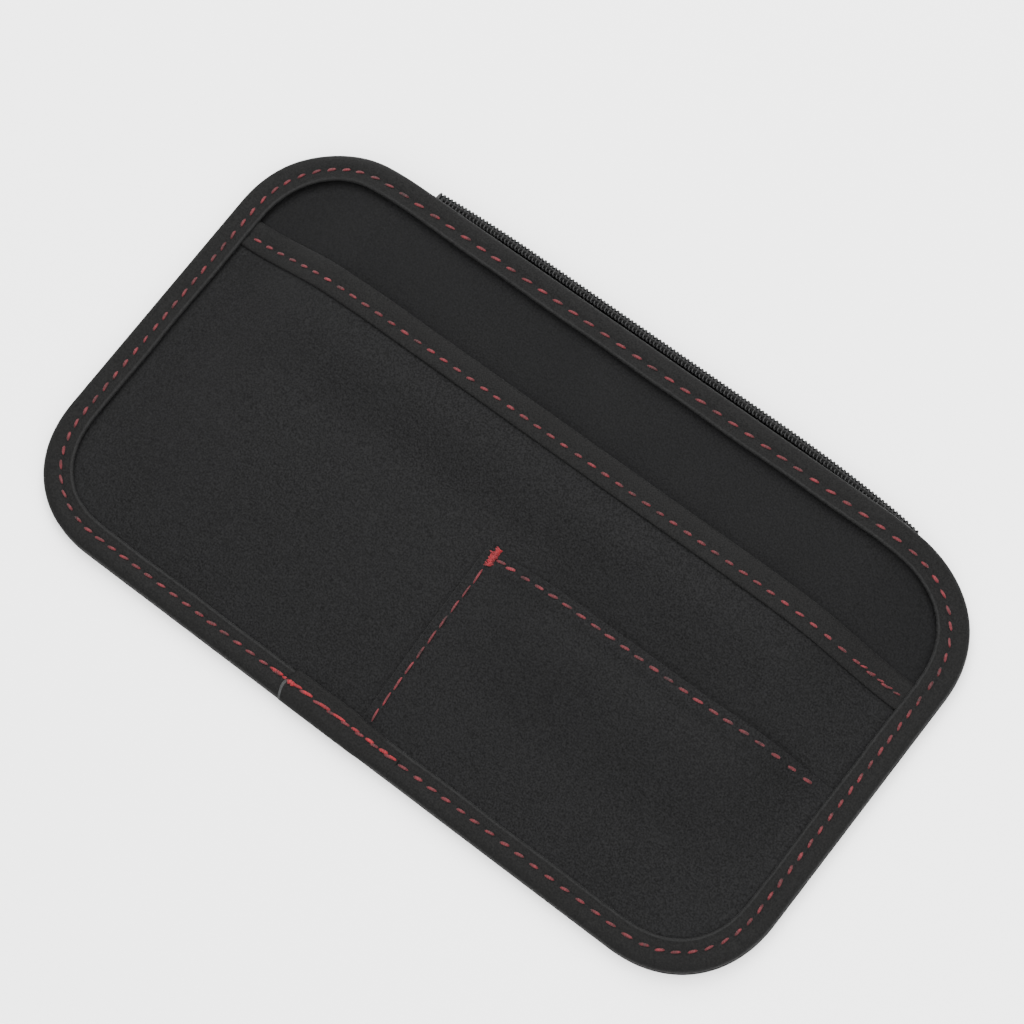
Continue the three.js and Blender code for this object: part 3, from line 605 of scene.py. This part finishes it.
def binding_rings(profile, lifted, puckered):
    """A profile at every step of the outline, with a wavy inner edge and, if puckered is 1, with needle
    holes and the swell between them."""
    wobble = 0.09 * np.sin(RUN_AT * 0.21 + 1.0) + 0.06 * np.sin(RUN_AT * 0.083)
    hole = hole_dip(RUN_AT)
    rings = []
    for d, z in profile:
        inset = d + (wobble * 0.8 if d > 6.4 else 0)
        xy = inset_xy(RUN, inset)
        near = np.exp(-(((d - SEAM_INSET) / 0.75) ** 2))
        puff = np.exp(-(((d - 2.6) / 1.3) ** 2)) + np.exp(-(((d - 6.2) / 0.8) ** 2))
        height = z + puckered * (-HOLE_DEPTH * near * hole + PUCKER * puff * (1 - 1.6 * hole))
        height = height + lifted(xy[:, 0], xy[:, 1])
        rings.append(np.column_stack([xy, height]))
    return np.stack(rings, 1)


# Flat strips in metres, and the parts of the front profile that are outside and that roll inwards
OUTSIDE_Z = 4.3
# From FOLD_INSET inwards, the rolled fold carries the painted highlight.
FOLD_INSET = 7.3


def add_bindings():
    """The strip on each side of the mouth; only the front one's outside is puckered."""
    outside = np.array([z > OUTSIDE_Z for _, z in FRONT_PROFILE])
    puckered = binding_rings(FRONT_PROFILE, lift, 1.0)
    even = binding_rings(FRONT_PROFILE, lift, 0.0)
    front = loft("binding_front", np.where(outside[None, :, None], puckered, even), EDGE)
    # The rolled inner fold takes the lighter copy: a painted highlight along it.
    front.data.materials.append(FOLD_PAINTED_HIGHLIGHT)
    points = len(FRONT_PROFILE)
    rolled = {k for k, (d, z) in enumerate(FRONT_PROFILE) if d > FOLD_INSET and z > OUTSIDE_Z}
    for face in front.data.polygons:
        if all(v % points in rolled for v in face.vertices):
            face.material_index = 1
    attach(front, "pouch")
    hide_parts("front_binding")
    back = loft("binding_back", binding_rings(BACK_PROFILE, level, 0.0), EDGE)
    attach(back, "pouch")
    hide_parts("back_binding")
    return front, back


# The overlapped end of the strip. It lies LAP_RISE proud from LAP_FROM_X on, and sinks in from
# LAP_FADE_FROM_X to its end, which is bowed.
LAP_RISE = 0.38
LAP_SINK = 0.14
LAP_FROM_X = -20.5
LAP_TO_X = 16.0
LAP_FADE_FROM_X = 2.0
LAP_FADE = 12.0
LAP_BOW = 1.3
LAP_BOW_RUN = 8.0
BOTTOM_SEAM_Y = -55.0


def lap_fade(x):
    """0 where the lap lies fully on top, 1 where it has become the strip itself."""
    return smooth((x - LAP_FADE_FROM_X) / LAP_FADE)


def lap_rise(x, y):
    """How far the lap raises the perimeter stitches."""
    on_lap = (y < BOTTOM_SEAM_Y) & (x > LAP_FROM_X)
    return np.where(on_lap, LAP_RISE * (1 - lap_fade(x)), 0)


def add_binding_lap():
    """The strip's overlapped end, on top of its start near the middle of the bottom edge."""
    xy = inset_xy(RUN, SEAM_INSET)
    at = np.where((xy[:, 1] < BOTTOM_SEAM_Y) & (xy[:, 0] > LAP_FROM_X) & (xy[:, 0] < LAP_TO_X))[0]
    rim = (0.05, 2.6)
    crown_to_fold = FRONT_PROFILE[4:21]
    depth, top = np.array([rim, *crown_to_fold]).T
    facing_out = np.clip(1 - depth / 1.6, 0, 1)
    rings = []
    for i in at:
        x = xy[i, 0]
        proud = LAP_RISE * (1 - lap_fade(x)) - LAP_SINK * lap_fade(x)
        bowed = smooth((x - LAP_FROM_X) / -LAP_BOW_RUN + 1)
        bow = LAP_BOW * np.sin(np.pi * np.clip(depth, 0, 8) / 8) * bowed
        lip = smooth((depth - 6.6) / 1.2) * smooth((4 - x) / 6)
        base = inset_xy(np.repeat(RUN[i : i + 1], len(depth), 0), depth)
        upper = np.column_stack([
            base[:, 0] - bow,
            base[:, 1] - proud * facing_out + (0.55 * lip + 0.35 * proud * (depth > 7.4)),
            top + proud * (1 - 0.7 * facing_out) + 0.12 * lip,
        ])
        lower = np.column_stack([base[:, 0] - bow, base[:, 1], top - 0.15])
        rings.append(np.concatenate([upper, lower[::-1]]))
    lap = loft("binding_lap", rings, EDGE, closed=False)
    show_cut_end_and_highlight(lap, rings)
    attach(lap, "pouch")
    return lap


def show_cut_end_and_highlight(lap, rings):
    """The raw end of the strip is paler, as far as the seam: partly its own paler backing, partly a
    painted highlight where the raised end catches the light.
    """
    lap.data.materials.append(CUT_EDGE_AND_HIGHLIGHT)
    first = int(np.argmin([np.mean([p[0] for p in ring]) for ring in rings]))
    cut = {first * len(rings[0]) + k for k in range(len(rings[0]))}
    for face in lap.data.polygons:
        middle = np.mean([lap.data.vertices[v].co.y for v in face.vertices])
        outer_half = 1000 * middle + SHIFT_Y < SEAM_INSET - HALF_HEIGHT
        if outer_half and sum(v in cut for v in face.vertices) == 2:
            face.material_index = 1


# From and to x of the stitches that were sewn over the lap a second time
SEWN_TWICE = [
    (-27, -22.5), (-23, -19), (-20, -16), (-16.5, -12.5), (-11, -6.5),
    (-6.5, -1.5), (0, 3), (4.7, 7.7), (9.2, 12.3), (12, 15),
]  # fmt: skip


def add_perimeter_stitches():
    xy = inset_xy(RUN, SEAM_INSET)

    def line(s):
        s = s % RUN_TOTAL
        return np.interp(s, RUN_AT, xy[:, 0]), np.interp(s, RUN_AT, xy[:, 1])

    def top(x, y):
        return STITCH_BED_Z + lift(x, y) + lap_rise(x, y)

    plain = surface_stitches(line, top, SEAM, slant=9)
    front = stitch_object("stitches_front", plain, RED)
    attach(front, "pouch")
    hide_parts("perimeter_thread_front")

    bottom_at = np.array([s for s, p in zip(RUN_AT, xy) if p[1] < BOTTOM_SEAM_Y])
    xs = np.array([line(s)[0] for s in bottom_at])
    order = np.argsort(xs)

    def run_at_x(x):
        return np.interp(x, xs[order], bottom_at[order])

    spans = []
    for ends in SEWN_TWICE:
        a, b = sorted(run_at_x(x) for x in ends)
        spans.append(((a + b) / 2, b - a))
    again = surface_stitches(line, top, spans, width=0.85, height=0.5, slant=6, offset=0.28)
    ends = [(run_at_x(-20), 1.7), (run_at_x(-19.2), 1.5)]
    knot = surface_stitches(line, top, ends, width=1.3, height=0.9, slant=35)
    doubled = stitch_object("stitches_doubled", again + knot, RED_BRIGHT)
    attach(doubled, "pouch")

    flattened = np.array([1, 1, 0])
    bed, up, thin = np.array([0, 0, 0.08]), np.array([0, 0, 1.0]), 0.14
    under = [
        (middle * flattened + bed, unit(along * flattened), up, length, width, thin)
        for middle, along, _, length, width, _ in plain
    ]
    back = stitch_object("stitches_back", under, RED)
    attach(back, "pouch")
    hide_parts("perimeter_thread_back")


# ---------------------------------------------------------------- panels


def columns_to(end, middle_count, turn_count):
    """Values of x over the whole width, closer together towards the rounded ends."""
    straight = HALF_LENGTH - CORNER_RADIUS
    turn = np.linspace(0, np.pi / 2, turn_count)[1:]
    right = straight + (end - straight) * np.sin(turn)
    return np.concatenate([-right[::-1], np.linspace(-straight, straight, middle_count), right])


COLUMNS = columns_to(HALF_LENGTH - SHEET_INSET, 108, 24)

# Distances of the rows or columns next to an edge that is folded over
BY_THE_FOLD = np.array([0.0, 0.05, 0.14, 0.3, 0.55, 0.9, 1.4])
NEXT_TO_FOLD = np.array([2.2, SMALL_SIDE_SEAM, 4.2])


def rows_between(low, high, count, crowd_high=False):
    """Values of y from low to high in each column, with more near a folded upper edge."""
    t = np.linspace(0, 1, count)
    y = low[:, None] + (high - low)[:, None] * t[None, :]
    if crowd_high:
        spread = y[:, :-1] - 0.02 * BY_THE_FOLD[-1] * t[None, :-1]
        y = np.sort(np.concatenate([spread, high[:, None] - BY_THE_FOLD[::-1][None, :]], 1), 1)
    return y


def rounded_edge(distance, radius):
    """How far a surface falls back near an edge that it rounds over."""
    d = np.clip(distance / radius, 0, 1)
    return radius * (1 - np.sqrt(np.maximum(1 - (1 - d) ** 2, 0)))


def add_sheet(name, xs, y_rows, base, rise, thick, look, node_name, edges=(), extra=None):
    """Two skins over a surface, rounded along the edges whose distance functions are given."""
    x = np.repeat(xs[:, None], y_rows.shape[1], 1)
    surface = base + rise(x, y_rows)
    low, high = surface.copy(), surface + thick
    if extra is not None:
        high = high + extra(x, y_rows)
    least = 0.005
    half = (high - low) / 2 - least
    for distance in edges:
        fall = rounded_edge(distance(x, y_rows), thick / 2) * (half / (thick / 2))
        fall = np.minimum(fall, np.minimum((high - low) / 2 - least, half))
        low, high = low + fall, high - fall
    points, faces = sheet_points(xs, y_rows, low, high)
    made = make_object(name, points, faces, look)
    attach(made, "pouch")
    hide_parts(node_name)
    return made


def add_full_sheets():
    """The front panel and both linings."""
    rows = rows_between(-outline_y(COLUMNS, SHEET_INSET), outline_y(COLUMNS, SHEET_INSET), 70)
    for name, base, rise, thick, look, node_name, slot in (
        # The front panel takes the darker copy: painted shade under the lip.
        ("panel_front", FRONT_PANEL_Z, lift, SHEET, UPPER_PAINTED_SHADE, "front_panel", "panel"),
        ("lining_front", FRONT_LINING_Z, lift, LINING, LINER, "front_lining", "lining"),
        ("lining_back", BACK_LINING_Z, level, LINING, LINER, "back_lining", "lining"),
    ):
        add_sheet(name, COLUMNS, rows, base, rise, thick, look, node_name)


def add_slot_pocket():
    """The full-width pocket, whose upper edge is inside the hem."""
    inside_hem = 0.62
    mouth = np.full(len(COLUMNS), SLOT_MOUTH_Y - inside_hem)
    rows = rows_between(-outline_y(COLUMNS, SHEET_INSET), mouth, 60)
    add_sheet(
        "slot_pocket", COLUMNS, rows, SLOT_Z, on_slot, SHEET, PANEL, "slot_pocket_panel",
    )  # fmt: skip


def to_small_mouth(x, y):
    return small_mouth_y(x) - y


def to_small_left(x, y):
    return x - SMALL_LEFT_X


def small_pocket_hems(x, y):
    """The turned hems along the mouth and the left edge stand a little proud, less at their seams."""
    mouth_hem, left_hem, hem_end, groove = 5.4, 6.0, 0.9, 0.5
    to_mouth, to_left = to_small_mouth(x, y), to_small_left(x, y)
    band = np.maximum(smooth((mouth_hem - to_mouth) / hem_end), smooth((left_hem - to_left) / hem_end))
    seam = np.exp(-(((to_mouth - SMALL_MOUTH_SEAM) / groove) ** 2))
    side = np.exp(-(((to_left - SMALL_SIDE_SEAM) / groove) ** 2))
    inside = smooth((y + INNER_Y + 1) / 4) * smooth((INNER_X - 1 - x) / 3)
    return (SMALL_HEM_RISE * band - SMALL_SEAM_DEPTH * np.maximum(seam, side)) * inside


def add_small_pocket():
    """The pocket at the lower right; its left edge fold has a painted highlight, in the lighter fold
    material.
    """
    crowd = SMALL_LEFT_X + np.concatenate([BY_THE_FOLD, NEXT_TO_FOLD])
    xs = np.concatenate([crowd, COLUMNS[COLUMNS > SMALL_LEFT_X + 5]])
    rows = rows_between(-outline_y(xs, SHEET_INSET), small_mouth_y(xs), 56, crowd_high=True)
    pocket = add_sheet(
        "small_pocket", xs, rows, OVER_SLOT_Z, on_small, SHEET, PANEL, "small_pocket_panel",
        edges=(to_small_mouth, to_small_left), extra=small_pocket_hems,
    )  # fmt: skip
    # Painted highlight on the left edge fold.
    pocket.data.materials.append(FOLD_PAINTED_HIGHLIGHT)
    fold_x = (SMALL_LEFT_X + 0.4) / 1000
    for face in pocket.data.polygons:
        if max(pocket.data.vertices[v].co.x for v in face.vertices) < fold_x:
            face.material_index = 1


def add_back_panel():
    """The back's outside, as far as it shows inside the binding."""
    inset = BINDING_WIDTH + 0.25
    end = HALF_LENGTH - inset
    xs = columns_to(end, 60, 16)
    rows = rows_between(-outline_y(xs, inset), outline_y(xs, inset), 40)
    x = np.repeat(xs[:, None], rows.shape[1], 1)
    edge = np.minimum(outline_y(x, inset) - np.abs(rows), end - np.abs(x))
    above_rest, top = 0.02, 0.5
    low = above_rest + rounded_edge(edge, 0.3)
    points, faces = sheet_points(xs, rows, low, np.full_like(low, top))
    made = make_object("panel_back", points, faces, PANEL)
    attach(made, "pouch")
    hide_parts("back_panel")


def add_hem():
    """A strip folded over the slot pocket's edge, sewn through below the fold."""
    profile = [
        (-8.3, 3.6), (-8.36, 3.86), (-8.15, 4.08), (-7.6, 4.16), (-6.6, 4.2), (-5.7, 4.12),
        (-HEM_SEAM, HEM_GROOVE_Z), (-4.3, 4.12), (-3.2, 4.28), (-2.0, 4.34), (-1.0, 4.3), (-0.35, 4.08),
        (-0.05, 3.7), (0.0, 3.3), (-0.12, 3.05), (-0.4, 2.93), (-0.56, 2.98), (-0.56, 3.5), (-4.0, 3.56),
    ]  # fmt: skip
    xs = np.arange(-HEM_HALF_LENGTH, HEM_HALF_LENGTH + 0.01, 0.75)
    seam = even_spans(-INNER_X + 1, INNER_X - 1, 4.4, 2.55)
    holes = np.array([m + k * n / 2 for m, n in seam for k in (-1, 1)])
    dip = np.exp(-((np.abs(xs[:, None] - holes[None, :]).min(1) / 0.6) ** 2))
    outside_z = 3.9
    rings = []
    for v, z in profile:
        y = np.full(len(xs), SLOT_MOUTH_Y + v)
        near = np.exp(-(((v + HEM_SEAM) / 0.7) ** 2)) * (z > outside_z)
        puff = (np.exp(-(((v + 2.4) / 1.2) ** 2)) + np.exp(-(((v + 7) / 0.9) ** 2))) * (z > outside_z)
        height = z - 0.16 * near * dip + 0.06 * puff * (1 - 1.6 * dip) + on_slot(xs, y)
        rings.append(np.column_stack([xs, y, height]))
    hem = loft("slot_hem", np.stack(rings, 1), EDGE, closed=False)
    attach(hem, "pouch")
    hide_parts("slot_pocket_hem")
    add_hem_stitches(seam)


def add_hem_stitches(seam):
    """The seam along the hem, sewn over once more at its right end."""

    def line(s):
        return s, SLOT_MOUTH_Y - HEM_SEAM

    def top(x, y):
        return HEM_GROOVE_Z + on_slot(x, y)

    made = surface_stitches(line, top, seam, slant=7)
    sewn_again = [(x, 2.3) for x in (95.5, 98.0, 100.6, 103.2, 105.6)]
    made += surface_stitches(line, top, sewn_again, width=0.55, slant=16, offset=0.3)
    stitches = stitch_object("stitches_hem", made, RED)
    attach(stitches, "pouch")
    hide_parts("hem_thread")


def small_top(x, y):
    """Height of the small pocket's hems, where their stitches lie."""
    return OVER_SLOT_Z + SHEET + 0.36 + on_small(x, y)


def add_small_mouth_stitches():
    def line(s):
        return s, small_mouth_y(s) - SMALL_MOUTH_SEAM

    first = [(SMALL_SEAM_X + 2.2, 3.2), (SMALL_SEAM_X + 5.4, 3.4)]
    made = surface_stitches(line, small_top, first, width=0.9, slant=14)
    run = even_spans(SMALL_SEAM_X + 8, INNER_X - 1, 4.6, 3.2)
    made += surface_stitches(line, small_top, run, slant=6)
    seam = stitch_object("stitches_small_mouth", made, RED)
    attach(seam, "pouch")
    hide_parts("small_pocket_mouth_thread")


def add_small_side_stitches():
    def line(s):
        return SMALL_SEAM_X - 0.35 + 0.3 * (s + 7) / 50, s

    def top(x, y):
        return small_top(x, y) + 0.12

    run = even_spans(-INNER_Y + 0.8, -6.4, 4.8, 4.2)
    seam = stitch_object("stitches_small_side", surface_stitches(line, top, run, width=0.62, slant=3), RED)
    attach(seam, "pouch")
    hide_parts("small_pocket_side_thread")


def add_tack():
    """The bar tack at the small pocket's corner: a dense zigzag, and loose threads over it."""
    up = np.array([0, 0, 1.0])
    tack_x = SMALL_SEAM_X - 0.25
    made = []
    for k in range(22):
        y = -1.9 - 0.24 * k
        x = tack_x + 0.16 * rng.standard_normal()
        along = unit(np.array([1.0, 0.5 if k % 2 else -0.3, 0.0]))
        middle = np.array([x, y, small_top(x, y) + 0.08])
        made.append((middle, along, up, 2.2 + 0.4 * rng.standard_normal(), 0.5, 0.6))
    for _ in range(9):
        x = tack_x + 0.45 * rng.standard_normal()
        y = -4.4 + 1.3 * rng.standard_normal()
        turn = rng.uniform(0, np.pi)
        along = np.array([np.cos(turn), np.sin(turn), 0.0])
        made.append((np.array([x, y, small_top(x, y) + 0.25]), along, up, 1.7, 0.45, 0.5))
    tack = stitch_object("tack_stitches", made, RED_BRIGHT)
    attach(tack, "pouch")
    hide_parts("bar_tack")


# ---------------------------------------------------------------- zip


def coil_tip(x):
    """How far the open rows stand out past the lips; they tuck in towards both ends."""
    flat_half, tucked_at = 0.52 * SHOULDER_START, HALF_LENGTH - 26
    past = np.maximum(np.abs(x) - flat_half, 0) / (tucked_at - flat_half)
    return COIL_PROUD + 0.6 - COIL_TAPER * past * past


def open_row_y(x):
    """Middle of a row where it stands past the lip."""
    return HALF_HEIGHT + coil_tip(x) - COIL_ACROSS / 2


def open_row_z(x, side):
    """The row's middle: it hangs under the front tape and lies on the back one."""
    if side > 0:
        return FRONT_TAPE_Z + lift(x, HALF_HEIGHT) - COIL_TO_TAPE - COIL_THICKNESS / 2
    return BACK_TAPE_Z + TAPE + COIL_TO_TAPE + COIL_THICKNESS / 2


def coil_path(side):
    """Points along one row: x, y, z and how far it has turned flat."""
    tail, head = PARKED_X - SLIDER_HALF - 0.3, PARKED_X + SLIDER_HALF
    meshed = ZIP_Z + side * MESHED_HALF_GAP
    parted = ZIP_Z + side * PARTED_HALF_GAP
    out = head + FANS_OUT_OVER
    end = SHUT_X + SLIDER_HALF + 1.6
    open_z = open_row_z(out, side)
    in_slider = [
        (tail, ZIP_Y, meshed, 0), (PARKED_X - 1, ZIP_Y, meshed, 0), (head - 2.8, ZIP_Y, parted, 0),
        (head, ZIP_Y, parted, 0), (head + 1, ZIP_Y, parted, 0.2), (head + 3, ZIP_Y, open_z, 1),
        (out, open_row_y(out), open_z, 1),
    ]  # fmt: skip
    along_lip = [(x, open_row_y(x), open_row_z(x, side), 1) for x in np.linspace(out + 1, end, 160)]
    return np.array(in_slider + along_lip)


def drawn_together(piece):
    """Gives the piece a mesh of its own."""
    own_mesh(piece)


def add_coil(name, side, node_name):
    """One wire wound along the row; its loops flatten in the middle, where the sewing holds them."""
    path = coil_path(side)
    points_per_turn = 18
    turns = np.arange(0, (path[-1, 0] - path[0, 0]) / COIL_PITCH, 1 / points_per_turn)
    theta = 2 * np.pi * turns
    xs = path[0, 0] + COIL_PITCH * (turns + 0.4 * np.sin(2 * theta) / (2 * np.pi))
    y, z, flat = (np.interp(xs, path[:, 0], path[:, k]) for k in (1, 2, 3))
    turned = np.pi / 2 * (1 - flat)
    across = COIL_WIDTH + (COIL_ACROSS - COIL_WIDTH) * flat
    w = (across / 2 - WIRE) * np.cos(theta)
    pressed = 1 - 0.5 * np.exp(-((w / 0.3) ** 2))
    t = (COIL_THICKNESS / 2 - WIRE) * np.sin(theta) * pressed
    w_y, w_z = np.cos(turned), -np.sin(turned) * side
    t_y, t_z = np.sin(turned) * side, np.cos(turned)
    line = np.column_stack([xs, y + w * w_y + t * t_y, z + w * w_z + t * t_z])
    tangent = np.gradient(line, axis=0)
    tangent /= np.linalg.norm(tangent, axis=1)[:, None]
    axis = np.array([1.0, 0, 0])
    first = np.cross(tangent, axis)
    first /= np.maximum(np.linalg.norm(first, axis=1), 1e-6)[:, None]
    second = np.cross(tangent, first)
    rings = np.stack([
        line + (first * np.cos(a) + second * np.sin(a)) * WIRE
        for a in np.linspace(0, 2 * np.pi, 7)[:-1]
    ], 1)
    coil = loft(name, rings, NYLON, closed=False)
    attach(coil, "pouch")
    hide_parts(node_name)
    drawn_together(coil)
    return coil


def add_tape(name, side, node_name):
    """The tape from inside the lip to the coil, where it steps round the row."""
    half = HALF_LENGTH - 6 - 0.38 * SHOULDER
    xs = np.linspace(-half, half, 150)
    inner = HALF_HEIGHT + coil_tip(xs) - COIL_ACROSS
    stowed = HALF_HEIGHT - 5.6
    under_coil = COIL_ACROSS * 0.92
    out = smooth((xs - PARKED_X - SLIDER_HALF - 3) / 3)
    edge = stowed + (inner + under_coil - stowed) * out
    past_the_coil = smooth((np.abs(xs) - SHUT_X - SLIDER_HALF) / 4)
    edge = np.minimum(edge, outline_y(xs, 0) - 1 + 5 * (1 - past_the_coil))
    rows = rows_between(np.full(len(xs), TAPE_ROOT_Y), edge, 34)
    x = np.repeat(xs[:, None], rows.shape[1], 1)
    step_run, clearance = 0.9, 0.12
    step = smooth((rows - inner[:, None] + step_run) / step_run) * out[:, None]
    step = step * (COIL_THICKNESS + TAPE + clearance)
    low = FRONT_TAPE_Z + lift(x, rows) - step if side > 0 else BACK_TAPE_Z + step
    points, faces = sheet_points(xs, rows, low, low + TAPE)
    tape = make_object(name, points, faces, WEBBING)
    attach(tape, "pouch")
    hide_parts(node_name)
    drawn_together(tape)
    drawn_together(add_row_sewing(name + "_sewing", side))


OFF_TAPE = 0.34


def add_row_sewing(name, side):
    """The black stitches that hold a row to its tape."""

    def line(s):
        return s, open_row_y(s)

    def bed(x, y):
        if side > 0:
            return FRONT_TAPE_Z - OFF_TAPE + lift(x, HALF_HEIGHT)
        return BACK_TAPE_Z + TAPE + OFF_TAPE

    spans = even_spans(PARKED_X + SLIDER_HALF + 7, SHUT_X + 6, COIL_PITCH, 1.45)
    dots = surface_stitches(line, bed, spans, width=0.74, height=0.4, slant=8)
    sewing = stitch_object(name, dots, BLACK_THREAD)
    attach(sewing, "pouch")
    return sewing


def bevelled_copy(name, node_name, body, width_mm):
    """The same metal shape as a CAD node, with its edges rounded."""
    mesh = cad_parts[node_name].data.copy()
    mesh.name = name
    mesh.materials.clear()
    mesh.materials.append(LACQUER)
    bm = bmesh.new()
    bm.from_mesh(mesh)
    bmesh.ops.remove_doubles(bm, verts=bm.verts, dist=1e-6)
    bmesh.ops.dissolve_limit(bm, angle_limit=0.02, verts=bm.verts, edges=bm.edges)
    bm.to_mesh(mesh)
    bm.free()
    mesh.polygons.foreach_set("use_smooth", [True] * len(mesh.polygons))
    made = bpy.data.objects.new(name, mesh)
    bpy.context.scene.collection.objects.link(made)
    rounding = made.modifiers.new("rounding", "BEVEL")
    rounding.width = width_mm / 1000
    rounding.segments = 3
    rounding.limit_method = "ANGLE"
    rounding.harden_normals = True
    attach(made, body)
    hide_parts(node_name)
    return made


# ---------------------------------------------------------------- the pouch

binding_front, binding_back = add_bindings()
add_binding_lap()
add_full_sheets()
add_slot_pocket()
add_small_pocket()
add_back_panel()
add_hem()
add_perimeter_stitches()
add_small_mouth_stitches()
add_small_side_stitches()
add_tack()
add_coil("coil_front", 1, "zip_coil_front")
add_coil("coil_back", -1, "zip_coil_back")
add_tape("tape_front", 1, "zip_tape_front")
add_tape("tape_back", -1, "zip_tape_back")
bevelled_copy("slider_shell", "slider_body", "slider", 0.22)
bevelled_copy("slider_bridge", "slider_bail", "slider", 0.14)
bevelled_copy("tab", "pull_tab", "tab", 0.16)
for stop in ("top_stop_front", "top_stop_back", "bottom_stop"):
    bevelled_copy(stop + "_crimp", stop, "pouch", 0.2)
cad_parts["back_board"].data.materials.clear()
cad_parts["back_board"].data.materials.append(GREY_BOARD)

# ---------------------------------------------------------------- floor, light and camera, in metres

FLOOR_REACH = 3.0
FLOOR_GAP = 0.0003

# Angles in degrees: azimuth from +X, elevation above the floor, roll about the line of sight
CAMERA_TARGET = (-0.00365, 0.00888, 0.0)
CAMERA_DISTANCE = 0.88442
CAMERA_AZIMUTH = -35.34
CAMERA_ELEVATION = 71.17
CAMERA_ROLL = -17.416
CAMERA_LENS = 119.5
SENSOR_WIDTH = 36


def add_floor():
    """A plain pale floor, a hair under the pouch."""
    mesh = bpy.data.meshes.new("floor")
    corners = [(-1, -1), (1, -1), (1, 1), (-1, 1)]
    mesh.from_pydata([(FLOOR_REACH * x, FLOOR_REACH * y, 0) for x, y in corners], [], [(0, 1, 2, 3)])
    floor = bpy.data.objects.new("floor", mesh)
    bpy.context.scene.collection.objects.link(floor)
    floor.location.z = -FLOOR_GAP
    look, _, shader = new_material("floor_white")
    shader.inputs["Base Color"].default_value = (0.97, 0.97, 0.97, 1)
    shader.inputs["Roughness"].default_value = 0.9
    mesh.materials.append(look)


def area_light(name, place, side, power):
    """A square lamp that faces the origin."""
    data = bpy.data.lights.new(name, "AREA")
    data.shape = "RECTANGLE"
    data.size, data.size_y = side, side
    data.energy = power
    lamp = bpy.data.objects.new(name, data)
    bpy.context.scene.collection.objects.link(lamp)
    lamp.location = place
    lamp.rotation_euler = (-Vector(place)).to_track_quat("-Z", "Y").to_euler()


def add_world():
    """Even white surroundings."""
    world = bpy.data.worlds.new("studio")
    bpy.context.scene.world = world
    world.use_nodes = True
    background = world.node_tree.nodes["Background"]
    background.inputs["Color"].default_value = (1, 1, 1, 1)
    background.inputs["Strength"].default_value = 1.25


def add_camera():
    """From the right of the pouch's lower edge and high up, rolled about its line of sight."""
    data = bpy.data.cameras.new("camera")
    data.lens = CAMERA_LENS
    data.sensor_width = SENSOR_WIDTH
    camera = bpy.data.objects.new("camera", data)
    bpy.context.scene.collection.objects.link(camera)
    azimuth, elevation, roll = np.radians([CAMERA_AZIMUTH, CAMERA_ELEVATION, CAMERA_ROLL])
    level_out = np.array([np.cos(azimuth), np.sin(azimuth), 0])
    outward = np.cos(elevation) * level_out + np.array([0, 0, np.sin(elevation)])
    level_right = unit(np.cross([0, 0, 1], outward))
    level_up = np.cross(outward, level_right)
    right = level_right * np.cos(roll) + level_up * np.sin(roll)
    up = np.cross(outward, right)
    place = np.array(CAMERA_TARGET) + outward * CAMERA_DISTANCE
    columns = np.column_stack([right, up, outward, place])
    camera.matrix_world = Matrix(np.vstack([columns, [0, 0, 0, 1]]).tolist())
    bpy.context.scene.camera = camera


add_floor()
area_light("key", (-0.5, 0.7, 0.9), side=0.9, power=28)
area_light("fill", (0.8, -0.3, 0.9), side=1.2, power=22)
area_light("top", (0.0, 0.0, 1.3), side=1.4, power=26)
add_world()
add_camera()
